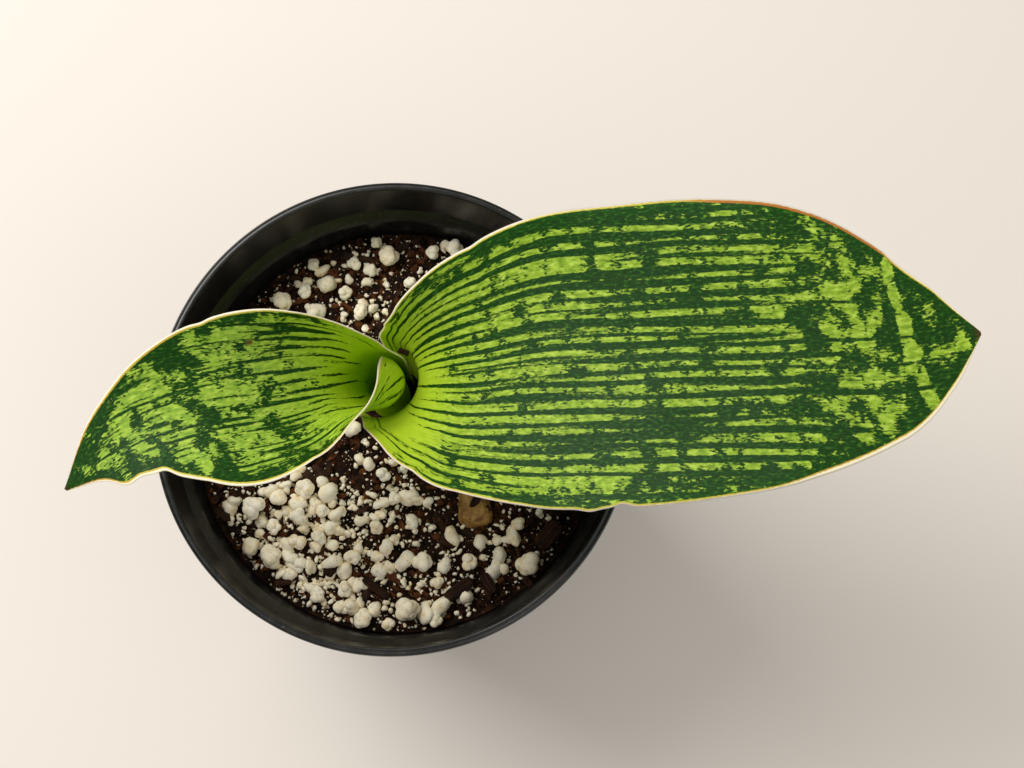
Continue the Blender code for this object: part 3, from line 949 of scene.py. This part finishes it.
    def build_fibres(self, material: bpy.types.Material, random: np.random.Generator) -> None:
        """Fine root and coir fibres: five-sided tubes round arched quadratic curves, tapered to both
        ends.

        Args:
            material: the bark.
            random: the seeded source.
        """
        count, rows, sides = self.fibres, 9, 5
        places = self.free_places(count, random)
        turn = 2 * np.pi * random.random(count)
        length = 3 + 9 * random.random(count) ** 1.5
        bend = random.normal(size=count) * 0.25
        t = np.linspace(-0.5, 0.5, rows)
        along = t[None] * length[:, None]
        aside = (t[None] ** 2) * (bend * length)[:, None] * 2
        x = places[:, :1] + along * np.cos(turn)[:, None] - aside * np.sin(turn)[:, None]
        y = places[:, 1:] + along * np.sin(turn)[:, None] + aside * np.cos(turn)[:, None]
        keep = np.hypot(x, y).max(1) < self.wall_radius - 1.5
        x, y, turn, length = x[keep], y[keep], turn[keep], length[keep]
        z = self.height(x, y) + 0.5 + 0.4 * np.sin(np.pi * (t + 0.5))[None]
        middle = np.stack([x, y, z], -1)
        across = np.stack([-np.sin(turn), np.cos(turn), 0 * turn], -1)
        angle = 2 * np.pi * np.arange(sides) / sides
        thick = (0.10 + 0.16 * random.random(len(x)))[:, None] * np.sin(np.pi * (t + 0.5))[None]
        ring = np.cos(angle)[:, None] * across[:, None, None] + np.sin(angle)[:, None] * np.array([0, 0, 1.0])
        piece = many_closed("mix_fibres", middle[:, :, None] + thick[..., None, None] * ring)
        points = np.empty(len(piece.data.vertices) * 3, np.float32)
        piece.data.vertices.foreach_get("co", points)
        store(piece, "grain_mm", points.reshape(-1, 3) / MM * 0.3)
        finish_piece(piece, material, Slot.BARK)


@dataclass(frozen=True)
class Perlite:
    """Perlite on the mix: large granules where the CAD has them, smaller ones gathered round them."""

    mix: PottingMix
    large: int = 36
    medium: int = 400
    small: int = 1100
    fines: int = 2400
    seed: int = 21

    def lobed(self, grid: np.ndarray, radius: np.ndarray, lobes: int, random: np.random.Generator) -> np.ndarray:
        """Popcorn shapes: along each direction d the surface lies at the farthest face of a cluster
        of balls, d.c + sqrt(r^2 - c.c + (d.c)^2) for a ball of radius r at c.

        Args:
            grid: (rows, columns, 3) directions.
            radius: (n,) sizes in millimetres.
            lobes: balls in each cluster.
            random: the seeded source.

        Returns:
            (n, rows, columns, 3) points about each granule's middle.
        """
        count = len(radius)
        centre = unit(random.normal(size=(count, lobes, 3))) * (0.30 + 0.28 * random.random((count, lobes, 1)))
        ball = 0.40 + 0.20 * random.random((count, lobes))
        ball = np.maximum(ball, np.linalg.norm(centre, axis=-1) * 1.04)
        facing = np.einsum("rcj,nkj->nrck", grid, centre)
        inside = (ball**2 - (centre**2).sum(-1))[:, None, None] + facing**2
        reach = (facing + np.sqrt(np.maximum(inside, 1e-6))).max(-1)
        reach /= np.quantile(reach.reshape(count, -1), 0.9, axis=1)[:, None, None]
        return grid[None] * (reach * radius[:, None, None])[..., None]

    def build_large(self, material: bpy.types.Material) -> np.ndarray:
        """The granules that have a CAD node each, at its place and size.

        Args:
            material: the perlite.

        Returns:
            (large, 3) x, y and radius in millimetres.
        """
        random = np.random.default_rng(self.seed)
        names = [f"perlite_{i + 1:02d}" for i in range(self.large)]
        boxes = np.array([[list(corner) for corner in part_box(name)] for name in names]) / MM
        middle, half = boxes.mean(1), (boxes[:, 1] - boxes[:, 0]) / 2
        grid = directions(37, 54)
        shape = self.lobed(grid, np.ones(self.large), 13, random)
        shape = np.einsum("nij,nrcj->nrci", random_turns(self.large, random), shape)
        shape *= half[:, None, None] * np.array([1.0, 1.0, 1.06])
        shape += middle[:, None, None]
        pits = rough(shape, 1.5, 31, 2)
        inward = unit(shape - middle[:, None, None])
        shape -= inward * (0.22 * np.maximum(pits, 0) ** 1.5)[..., None]
        shape[:, 0], shape[:, -1] = shape[:, :1, 0], shape[:, -1:, 0]
        piece = many_closed("perlite_granules", shape)
        store(piece, "tone", np.repeat(random.random(self.large), len(piece.data.vertices) // self.large))
        finish_piece(piece, material, Slot.PERLITE, *names)
        return np.concatenate([middle[:, :2], half[:, :1]], -1)

    def build_small(self, material: bpy.types.Material, large: np.ndarray) -> None:
        """Smaller granules: most gather round a large one, more of them in the front and most to the
        front left, where the pot was tipped; the rest lie anywhere. Each row of the table is a
        size: its name, how many, the least and the greatest radius, the spread about a large one,
        the share that lies anywhere, the grid and the balls in a cluster.

        Args:
            material: the perlite.
            large: x, y and radius of the large granules.
        """
        random = np.random.default_rng(self.seed + 1)
        limit = self.mix.wall_radius
        for name, count, low, high, spread, loose, layout, lobes in (
                ("perlite_medium", self.medium, 0.8, 4.0, 7.0, 0.05, (8, 11), 8),
                ("perlite_small", self.small, 0.6, 1.5, 8.5, 0.18, (6, 7), 5),
                ("perlite_fines", self.fines, 0.2, 0.8, 11.0, 0.45, (4, 5), 4)):
            heap = 1.0 + (large[:, 1] < -15) * (0.7 + 1.1 * (large[:, 0] < -12))
            near = large[random.choice(len(large), count * 3, p=heap / heap.sum())]
            places = near[:, :2] + random.normal(size=(count * 3, 2)) * spread
            anywhere = self.mix.free_places(count * 3, random)
            pick = random.random(len(anywhere)) < loose
            places[:len(anywhere)][pick] = anywhere[pick]
            radius = low + (high - low) * random.random(len(places)) ** 3.0
            gap = (np.hypot(*(places[:, None] - large[None, :, :2]).transpose(2, 0, 1)) - large[None, :, 2]).min(1)
            stem = np.hypot(places[:, 0] - self.mix.stem[0], places[:, 1] - self.mix.stem[1])
            good = (np.hypot(*places.T) < limit - radius - 0.6) & (gap > radius * 0.1) & (stem > 16)
            places, radius = places[good][:count], radius[good][:count]
            shape = self.lobed(directions(*layout), radius, lobes, random)
            shape *= 0.62 + 0.6 * random.random((len(radius), 1, 1, 3))
            shape = np.einsum("nij,nrcj->nrci", random_turns(len(radius), random), shape)
            wall = np.clip((np.hypot(*places.T) - limit + 12) / 12, 0, 1)
            lift = radius * 0.55 + wall * random.random(len(radius)) * 2.2 * (radius > 1)
            z = self.mix.height(places[:, 0], places[:, 1]) + lift
            shape += np.concatenate([places, z[:, None]], -1)[:, None, None]
            shape[:, 0], shape[:, -1] = shape[:, :1, 0], shape[:, -1:, 0]
            piece = many_closed(name, shape)
            store(piece, "tone", np.repeat(random.random(len(radius)), len(piece.data.vertices) // len(radius)))
            finish_piece(piece, material, Slot.PERLITE)


@dataclass(frozen=True)
class BarkChips:
    """Chips of bark on the mix, a flake on the rhizome and the crumb caught between the leaves.

    Each chip is its length, width and height, and its turn in degrees.
    """

    chips: Rows = (
        (12.0, 5.0, 3.6, 35.0), (13.0, 3.6, 3.2, -38.0), (7.5, 4.6, 3.0, 62.0), (7.0, 4.4, 2.8, 10.0),
        (7.0, 4.2, 2.8, -18.0), (11.5, 7.0, 5.2, 48.0), (9.5, 6.4, 5.0, -22.0), (8.5, 4.4, 3.0, -58.0))

    def shape(self, size: np.ndarray, seed: int) -> np.ndarray:
        """A rounded block: each direction's parts are raised to the power 0.55 with their signs and
        scaled to the half sizes, then worn by noise that is long along the grain.

        Args:
            size: length, width and height in millimetres.
            seed: which chip.

        Returns:
            (rows, columns, 3) points about the chip's middle.
        """
        way = directions(31, 48)
        block = np.sign(way) * np.abs(way) ** 0.55
        block /= np.abs(block).max()
        points = block * size / 2
        grain = points * np.array([0.25, 1.0, 1.5])
        worn = 0.30 * rough(grain + 50 * seed, 1.6, 5 + seed, 3) + 0.5 * rough(points, 4.0, 60 + seed, 2)
        shrunk = 1 - 0.10 * (1 + rough(points, 5.0, 80 + seed, 1))
        points = points * shrunk[..., None] - unit(way) * np.abs(worn)[..., None] * 0.45
        points[0], points[-1] = points[0, :1], points[-1, :1]
        return points

    def build(self, material: bpy.types.Material) -> None:
        """Lays the chips where the CAD has them, then the flake and the crumb.

        Args:
            material: the bark.
        """
        for index, (length, width, height, turn) in enumerate(self.chips):
            node = f"bark_chip_{index + 1:02d}"
            low, high = (np.array(corner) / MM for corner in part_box(node))
            self.lay(f"pine_bark_{index + 1:02d}", node, (length, width, height),
                     (low + high) / 2, turn, 0.0, index, material)
        self.lay("pine_bark_flake", "", (6.0, 3.2, 1.2), (26.4, -25.2, 111.2), 62.0, 8.0, 14, material)
        self.lay("pine_bark_crumb", "bark_crumb", (4.2, 2.8, 1.5), (3.8, 18.9, 148.6), -22.0, 40.0, 11, material)

    def lay(self, name: str, node: str, size: tuple[float, ...], middle: tuple[float, ...], turn: float,
            tilt: float, seed: int, material: bpy.types.Material) -> None:
        """Makes one chip, tilts it about its length, turns it upright and puts it in place.

        Args:
            name: the piece's name.
            node: the CAD node it stands for, or nothing.
            size: length, width and height.
            middle: its middle.
            turn: degrees about the upright axis.
            tilt: degrees about its own length.
            seed: which chip.
            material: the bark.
        """
        points, quads, triangles = closed_by_poles(self.shape(np.array(size), seed))
        quads, triangles = facing_out(points, quads, triangles)
        a, b = math.radians(turn), math.radians(tilt)
        lean = np.array([[1, 0, 0], [0, math.cos(b), -math.sin(b)], [0, math.sin(b), math.cos(b)]])
        spin = np.array([[math.cos(a), -math.sin(a), 0], [math.sin(a), math.cos(a), 0], [0, 0, 1]])
        piece = fill_mesh(name, points @ (spin @ lean).T + np.array(middle), quads, triangles)
        store(piece, "grain_mm", points + 30.0 * seed)
        finish_piece(piece, material, Slot.BARK, *([node] if node else []))


@dataclass(frozen=True)
class Rhizome:
    """The creeping stem whose blunt tip shows through the mix."""

    route: Rows = ((-1, 12, 84), (2, 4, 86.5), (8, -4, 89), (16, -11, 93.5), (22, -17, 99),
                   (25.5, -24, 104.2), (26.3, -30.5, 106.6))
    radius: float = 5.9
    rings: int = 150
    dome_rings: int = 25
    steps: int = 72

    def build(self, material: bpy.types.Material) -> None:
        """A tube along the route: its radius swells and narrows by noise, and it closes as a dome
        whose rings stand at radius * 0.62 * sin(a) with radius * cos(a), a from 0 to a right angle.

        Args:
            material: the rhizome's skin.
        """
        route = np.array(self.route, float)
        stops = np.linspace(0, 1, len(route))
        t = np.concatenate([[0.0, 0.0], np.linspace(0.01, 1.0, self.rings)])
        round_off = np.linspace(0, np.pi / 2, self.dome_rings + 1)[1:]
        line = curve_through(stops, route, t)
        way = unit(np.gradient(curve_through(stops, route, np.linspace(0, 1, len(t))), axis=0))
        side = unit(np.cross(way, np.array([0.0, 0.0, 1.0])))
        up = np.cross(side, way)
        line = np.concatenate([line, line[-1:] + way[-1:] * (np.sin(round_off) * self.radius * 0.62)[:, None]])
        side, up = (np.concatenate([each, np.repeat(each[-1:], self.dome_rings, 0)]) for each in (side, up))
        size = np.ones(len(line)) * self.radius
        size[0], size[-self.dome_rings:] = 0.0, self.radius * np.cos(round_off)
        angle = 2 * np.pi * np.arange(self.steps) / self.steps
        ring = size[:, None, None] * (np.cos(angle)[:, None] * side[:, None] + np.sin(angle)[:, None] * up[:, None])
        points = line[:, None] + ring
        lumps = 1 + 0.07 * rough(points, 5.0, 91, 3) - 0.05 * np.maximum(rough(points, 1.6, 97, 2), 0)
        points = line[:, None] + ring * lumps[..., None]
        points[0], points[-1] = points[0, :1], points[-1, :1]
        piece, _ = one_closed("rhizome_tip", points)
        finish_piece(piece, material, Slot.RHIZOME, "rhizome")


# ------------------------------------------------------------------ the leaves


@dataclass(frozen=True)
class LeafBlade:
    """One leaf: a midrib with two curling halves, rolled round the stem below and open above.

    stations holds the place along the leaf, the midrib's x, y, z, the first and the second half's
    width, and the angle in degrees that each curls through. The margins hold for each half the
    place, the cream edge's width, the inner line's width and how orange the line is. bands holds
    the place, the stripe level, the cross-band level and the warmth of the young tissue, which also
    paints a glow of light through the rolled base. notches holds the half, the place, the reach
    along and the depth in millimetres, below zero for a bulge. marks holds the place, the distance
    across and the radius. slant is how far the bands lean, strand_width the half width that the
    strands are spaced for, and dark_edge how much the cross-band level falls beside the margins.
    """

    name: str
    node: str
    side: tuple[float, float, float]
    stations: Rows
    first_margin: Rows
    second_margin: Rows
    bands: Rows
    notches: Rows
    marks: Rows
    slant: float
    strand_width: float
    dark_edge: float
    dark_edge_mm: float = 5.0
    thickness: float = 1.6
    rings: int = 400
    across: int = 101

    def build(self, material: bpy.types.Material) -> None:
        """Makes the blade as one closed shell and stores what its skin reads.

        At place u and share v of a half's width w with curl c, the blade turns through a = c|v| on a
        circle of radius w / c: it lies sign(v) * w/c * sin(a) along the side direction and
        w/c * (1 - cos(a)) along the normal. Each face stands half a thickness off it, times the
        root of 1 - |v|^14, which rounds the margin.

        Args:
            material: the leaf's skin.
        """
        table = np.array(self.stations)
        u = np.linspace(0, 1, self.rings) ** 0.98
        midrib = curve_through(table[:, 0], table[:, 1:4], u)
        along = unit(np.gradient(midrib, axis=0))
        sideways = unit(np.array(self.side) - (along @ np.array(self.side))[:, None] * along)
        normal = np.cross(along, sideways)
        width = np.maximum(curve_through(table[:, 0], table[:, 4:6], u), 0.4)
        curl = np.radians(curve_through(table[:, 0], table[:, 6:8], u))
        for half, centre, reach, depth in self.notches:
            width[:, int(half)] -= depth * np.exp(-(((u - centre) / reach) ** 2))
        length = np.concatenate([[0.0], np.cumsum(np.linalg.norm(np.diff(midrib, axis=0), axis=1))])

        share = np.linspace(-1, 1, self.across)
        half = (share > 0).astype(int)
        w, c = width[:, half], curl[:, half]
        turn = c * np.abs(share)
        circle = w / np.maximum(c, 1e-3)
        place = (midrib[:, None] + (np.sign(share) * circle * np.sin(turn))[..., None] * sideways[:, None]
                 + (circle * (1 - np.cos(turn)))[..., None] * normal[:, None])
        off = (np.cos(turn)[..., None] * normal[:, None]
               - (np.sign(share) * np.sin(turn))[..., None] * sideways[:, None])
        arc = share * w
        flat = np.stack([np.repeat(length[:, None], self.across, 1), arc, np.zeros_like(arc)], -1)
        # the open part swells and dips a little, its margins more finely
        opened = np.clip((u - 0.34) / 0.16, 0, 1)[:, None]
        swell = 0.55 * rough(flat, 34.0, 51, 2) + 0.45 * rough(flat, 12.0, 57, 1) * np.abs(share) ** 3
        place += off * (opened * swell)[..., None]
        thick = self.thickness / 2 * np.sqrt(1 - np.abs(share) ** 14) * (1 - 0.45 * np.abs(share) ** 2)
        thick = thick[None] * (1 - 0.35 * np.clip((u - 0.9) / 0.1, 0, 1))[:, None]
        upper, under = place + off * thick[..., None], place - off * thick[..., None]
        points = np.concatenate([upper, under[:, -2:0:-1]], 1).reshape(-1, 3)
        blade = fill_mesh(self.name, points, *facing_out(points - points.mean(0), *self.shell()))

        middle = width[np.searchsorted(u, 0.5)]
        strand = arc * self.strand_width / np.where(u[:, None] < 0.5, width, middle)[:, half]
        slanted = length[:, None] + self.slant * arc
        bands = np.array(self.bands)
        level = [np.interp(slanted / length[-1], bands[:, 0], bands[:, i]) for i in (1, 2, 3)]
        inside = (1 - np.abs(share))[None] * w
        level[1] = level[1] - self.dark_edge * np.exp(-((inside / self.dark_edge_mm) ** 2))
        for name, values in (("strand", np.stack([flat[..., 0], strand, slanted], -1)),
                             ("banding", np.stack(level, -1)),
                             ("rim", self.rim(u, share, w)),
                             ("brown", self.brown(u, share, w, length))):
            # the under face repeats the grid in the shell's order
            both = np.concatenate([values, values[:, -2:0:-1]], 1)
            store(blade, name, both.reshape(-1, *values.shape[2:]))
        finish_piece(blade, material, Slot.LEAF, self.node)

    def shell(self) -> tuple[np.ndarray, np.ndarray]:
        """Faces that join the shell's rings and close its two ends.

        A ring holds the upper face's points, then the under face's between the margins, backwards.
        Each end is a strip of quads between the two faces, with a triangle at either margin.

        Returns:
            Quads and triangles.
        """
        count = 2 * self.across - 2
        last = (self.rings - 1) * count
        k = np.arange(1, self.across - 2)
        ends = np.stack([k, k + 1, count - k - 1, count - k], -1)
        quads = np.concatenate([wrapped_quads(self.rings, count), ends, last + ends[:, ::-1]])
        tail = self.across - 2
        first = np.array([[0, 1, count - 1], [tail, tail + 1, tail + 2]])
        triangles = np.concatenate([first, last + first[:, [0, 2, 1]]])
        return quads, triangles

    def rim(self, u: np.ndarray, share: np.ndarray, width: np.ndarray) -> np.ndarray:
        """How far each point lies inside the cream edge and the inner line, and the line's orange.

        Args:
            u: places along.
            share: share of the half's width.
            width: the half's width at each point.

        Returns:
            (rings, across, 3): distance to the margin less the cream's width, the same less the
            line's width too, and the orange amount.
        """
        inside = (1 - np.abs(share))[None] * width
        sides = [np.stack([np.interp(u, rows[:, 0], rows[:, i]) for i in (1, 2, 3)], -1)
                 for rows in (np.array(self.first_margin), np.array(self.second_margin))]
        chosen = np.where((share > 0)[None, :, None], sides[1][:, None], sides[0][:, None])
        narrow = np.clip(width / 9.0, 0.15, 1.0)
        cream, line = chosen[..., 0] * narrow, chosen[..., 1] * narrow
        return np.stack([inside - cream, inside - cream - line, chosen[..., 2]], -1)

    def brown(self, u: np.ndarray, share: np.ndarray, width: np.ndarray, length: np.ndarray) -> np.ndarray:
        """Browned tissue: the pointed tip and small round marks of the given radius.

        Args:
            u: places along.
            share: share of the half's width.
            width: the half's width at each point.
            length: distance along the midrib.

        Returns:
            (rings, across) amount.
        """
        amount = np.clip((u - 0.992) / 0.010, 0, 0.6)[:, None] * np.ones_like(width)
        for place, across_mm, radius in self.marks:
            gap = np.hypot(length[:, None] - place * length[-1], share[None] * width - across_mm)
            amount = np.maximum(amount, np.clip((radius - gap) / (0.5 * radius), 0, 0.9))
        return amount


LARGE_LEAF = LeafBlade(
    name="large_leaf_blade", node="large_leaf", side=(0.0, 1.0, 0.0),
    slant=0.18, strand_width=47.0, dark_edge=0.42,
    stations=(
        (0.00, 9.5, 10.0, 96.0, 24.0, 19.0, 130, 106), (0.08, 9.8, 10.0, 116.0, 25.0, 19.5, 130, 104),
        (0.15, 10.2, 10.0, 134.0, 28.5, 20.5, 136, 96), (0.21, 9.4, 10.8, 147.0, 27.8, 21.2, 114, 92),
        (0.24, 11.7, 10.6, 151.9, 33.4, 25.2, 101, 98), (0.27, 15.2, 10.3, 156.0, 35.8, 29.6, 77, 92),
        (0.31, 20.0, 9.9, 160.7, 38.2, 33.4, 54, 68), (0.36, 27.1, 9.7, 166.0, 42.4, 37.3, 38, 42),
        (0.48, 48.8, 10.5, 177.0, 47.0, 44.5, 22, 22), (0.60, 72.7, 10.3, 186.0, 47.0, 46.0, 16, 16),
        (0.72, 97.5, 10.2, 193.0, 45.0, 46.0, 13, 13), (0.82, 123.2, 9.6, 199.0, 40.0, 42.0, 11, 11),
        (0.91, 148.7, 9.3, 203.5, 28.5, 28.5, 9, 9), (0.96, 163.2, 11.0, 205.5, 15.7, 15.8, 7, 7),
        (1.00, 174.5, 13.1, 207.0, 0.5, 0.5, 5, 5)),
    first_margin=((0.0, 0.5, 0.4, 0.0), (0.42, 0.5, 0.4, 0.0), (0.50, 0.40, 0.4, 0.0), (0.70, 0.45, 0.4, 0.1),
                  (0.80, 0.6, 0.4, 0.3), (0.85, 1.2, 0.5, 0.5), (0.97, 1.2, 0.4, 0.2), (1.0, 0.4, 0.3, 0.0)),
    second_margin=((0.0, 0.55, 0.4, 0.0), (0.45, 0.6, 0.4, 0.0), (0.50, 0.38, 0.4, 0.0), (0.68, 0.35, 0.5, 0.2),
                   (0.73, 0.35, 0.8, 1.0), (0.90, 0.35, 0.8, 1.0), (0.94, 0.7, 0.6, 0.2), (1.0, 0.4, 0.3, 0.0)),
    bands=(
        (0.00, 0.55, 1.2, 1.00), (0.22, 0.50, 1.2, 1.00), (0.26, 0.30, 0.8, 0.75), (0.30, 0.10, 0.36, 0.26),
        (0.38, 0.04, 0.26, 0.08), (0.46, 0.02, 0.22, 0.02), (0.51, 0.0, 0.22, 0.0), (0.535, -0.02, 0.05, 0.0),
        (0.55, -0.02, 0.22, 0.0), (0.567, -0.02, 0.05, 0.0), (0.585, -0.03, 0.24, 0.0), (0.607, -0.03, 0.04, 0.0),
        (0.63, -0.03, 0.22, 0.0), (0.665, -0.03, 0.04, 0.0), (0.69, -0.02, 0.20, 0.0), (0.74, 0.0, 0.14, 0.0),
        (0.78, 0.06, -0.02, 0.0), (0.80, 0.12, -0.16, 0.0), (0.825, 0.3, 0.0, 0.0), (0.848, 0.4, 0.20, 0.0),
        (0.866, 0.4, 0.00, 0.0), (0.898, 0.4, -0.14, 0.0), (0.907, 0.5, 0.34, 0.0), (0.917, 0.5, 0.34, 0.0),
        (0.923, 0.5, -0.30, 0.0), (0.955, 0.5, -0.26, 0.0), (0.975, 0.5, -0.02, 0.1), (1.0, 0.5, 0.1, 0.4)),
    notches=((0, 0.560, 0.014, -0.8), (0, 0.603, 0.012, 1.1), (1, 0.390, 0.014, 0.5)),
    marks=())

SMALL_LEAF = LeafBlade(
    name="small_leaf_blade", node="small_leaf", side=(0.0, -1.0, 0.0),
    slant=0.22, strand_width=32.0, dark_edge=0.45,
    stations=(
        (0.00, -8.6, 10.0, 96.0, 19.3, 27.0, 140, 250), (0.10, -8.7, 10.0, 118.0, 19.3, 27.0, 140, 250),
        (0.20, -9.4, 10.0, 138.0, 19.7, 28.4, 138, 258), (0.24, -10.3, 9.4, 145.4, 20.4, 32.6, 129, 262),
        (0.28, -12.4, 8.0, 152.0, 21.4, 36.2, 119, 250), (0.32, -15.3, 6.0, 157.4, 25.9, 29.4, 114, 208),
        (0.37, -19.8, 3.9, 163.0, 31.0, 21.6, 112, 124), (0.42, -25.1, 2.3, 167.6, 32.0, 25.0, 95, 92),
        (0.48, -31.8, 0.5, 172.0, 32.0, 29.0, 78, 74), (0.60, -45.2, -2.7, 178.0, 29.0, 29.6, 48, 46),
        (0.72, -58.6, -5.9, 181.0, 24.5, 24.0, 32, 30), (0.83, -72.0, -10.8, 181.0, 18.0, 16.5, 22, 20),
        (0.92, -85.0, -17.7, 178.0, 10.2, 10.0, 14, 12), (1.00, -97.3, -28.4, 173.0, 0.5, 0.5, 8, 8)),
    first_margin=((0.0, 0.55, 0.5, 0.0), (0.60, 0.6, 0.5, 0.1), (0.74, 0.5, 0.6, 0.35), (0.88, 0.6, 0.6, 0.35),
                  (1.0, 0.4, 0.5, 0.9)),
    second_margin=((0.0, 0.6, 0.5, 0.0), (0.50, 0.8, 0.6, 0.0), (0.80, 0.9, 0.6, 0.0),
                   (0.92, 0.7, 0.6, 0.4), (1.0, 0.4, 0.5, 0.9)),
    bands=(
        (0.00, 0.9, 1.2, 0.98), (0.32, 0.55, 1.0, 0.92), (0.40, 0.30, 0.7, 0.70), (0.48, 0.20, 0.40, 0.32),
        (0.54, 0.18, 0.24, 0.10), (0.575, 0.18, 0.00, 0.0), (0.60, 0.18, 0.22, 0.0), (0.66, 0.18, 0.16, 0.0),
        (0.685, 0.16, -0.18, 0.0), (0.71, 0.20, -0.10, 0.0), (0.735, 0.24, 0.28, 0.0), (0.77, 0.24, 0.26, 0.0),
        (0.80, 0.24, -0.08, 0.0), (0.835, 0.26, 0.20, 0.0), (0.86, 0.26, -0.10, 0.0), (0.89, 0.30, 0.20, 0.0),
        (0.925, 0.3, -0.20, 0.0), (0.95, 0.3, -0.10, 0.0), (1.0, 0.3, -0.15, 0.1)),
    notches=((1, 0.815, 0.020, 1.4), (1, 0.905, 0.030, -3.0), (0, 0.66, 0.016, 0.5)),
    marks=((0.590, -18.5, 1.25),))


# ------------------------------------------------------------------ the studio


@dataclass(frozen=True)
class Studio:
    """A plain pale floor, soft light from the upper left, and the camera.

    Each light is its name, its place in metres, its side in metres and its power in watts.
    """

    floor_colour: str = "ECE6DF"
    floor_half_mm: float = 1500.0
    room_colour: str = "F8F4EE"
    room_strength: float = 0.52
    light_tint: tuple[float, float, float] = (1.0, 0.965, 0.92)
    lights: tuple[tuple[str, tuple[float, float, float], float, float], ...] = (
        ("window_left", (-0.55, 0.45, 1.0), 0.70, 11.5), ("fill_right", (0.8, -0.5, 0.9), 0.9, 1.6))
    aim: tuple[float, float, float] = (0.03, 0.0, 0.12)
    camera_place: tuple[float, float, float] = (0.038675, -0.091982, 0.717806)
    camera_tilt: float = 10.0
    sensor_mm: float = 36.0
    lens_mm: float = 63.28

    def build(self) -> None:
        """Floor, room light, lights and camera."""
        self.lay_floor()
        scene = bpy.context.scene
        scene.view_settings.view_transform = "Standard"
        world = bpy.data.worlds.new("soft_room")
        world.use_nodes = True
        set_inputs(world.node_tree, world.node_tree.nodes["Background"],
                   {"Color": linear(self.room_colour), "Strength": self.room_strength})
        scene.world = world
        for light in self.lights:
            self.hang(*light)

        camera = bpy.data.objects.new("camera", bpy.data.cameras.new("camera"))
        camera.location = self.camera_place
        camera.rotation_euler = (math.radians(self.camera_tilt), 0.0, 0.0)
        camera.data.sensor_width, camera.data.lens = self.sensor_mm, self.lens_mm
        camera.data.clip_start = 0.01
        scene.collection.objects.link(camera)
        scene.camera = camera

    def lay_floor(self) -> None:
        """One large square of matt paper under the pot."""
        x, y = np.meshgrid(*[np.array([-1.0, 1.0]) * self.floor_half_mm] * 2, indexing="ij")
        points = np.stack([x, y, np.zeros_like(x)], -1).reshape(-1, 3)
        floor = fill_mesh("studio_floor", points, np.array([[0, 2, 3, 1]]))
        material, node, wire_shader = new_material("matt_paper_floor")
        tooth = node("TexNoise", {"Vector": node("TexCoord").outputs["Object"], "Scale": 900.0, "Detail": 2.0})
        wire_shader(linear(self.floor_colour), tooth, 0.05, 0.05, {"Roughness": 0.9})
        floor.data.materials.append(material)

    def hang(self, name: str, place: tuple[float, float, float], size: float, watts: float) -> None:
        """A square area light aimed at the plant.

        Args:
            name: its name.
            place: where it hangs.
            size: its side.
            watts: its power.
        """
        data = bpy.data.lights.new(name, "AREA")
        data.size, data.energy, data.color = size, watts, self.light_tint
        light = bpy.data.objects.new(name, data)
        light.location = place
        way = np.array(self.aim) - np.array(place)
        light.rotation_euler = (math.atan2(np.hypot(way[0], way[1]), -way[2]), 0.0,
                                math.atan2(way[1], way[0]) - math.pi / 2)
        bpy.context.scene.collection.objects.link(light)


def main() -> None:
    """Builds the studio and every part of the plant."""
    logging.basicConfig(level=logging.INFO, format="%(name)s %(message)s")
    Studio().build()
    pot = NurseryPot()
    pot.build(PotPlastic().build())
    peat = MixFinish("damp_peat_mix").build()
    rust = MixFinish("shredded_bark_fines", ("110A06", "23140B", "3E2312", "5F3519"), grain_mm=1.2).build()
    bark, perlite_skin = BarkFinish().build(), PerliteFinish().build()
    charred = MixFinish("charred_bark_slivers", ("0C0907", "1B130E", "2C1E15", "3F2A1B"), grain_mm=2.4).build()
    mix = PottingMix(pot)
    mix.build_bed(peat)
    mix.build_grains(peat, rust, bark, charred)
    perlite = Perlite(mix)
    perlite.build_small(perlite_skin, perlite.build_large(perlite_skin))
    BarkChips().build(bark)
    Rhizome().build(RhizomeSkin().build())
    LARGE_LEAF.build(LeafSkin("sansevieria_leaf_large", seed=2.0).build())
    SMALL_LEAF.build(LeafSkin("sansevieria_leaf_small", seed=9.0, stripe_mm=3.0, stripe_length_mm=24.0,
                              stripe_share=0.16, patch_mm=(5.0, 6.5), patch_gain=2.4,
                              young_and_glow="AED000", light="8CAE36", deep_light="6A9236").build())


if __name__ == "__main__":
    main()
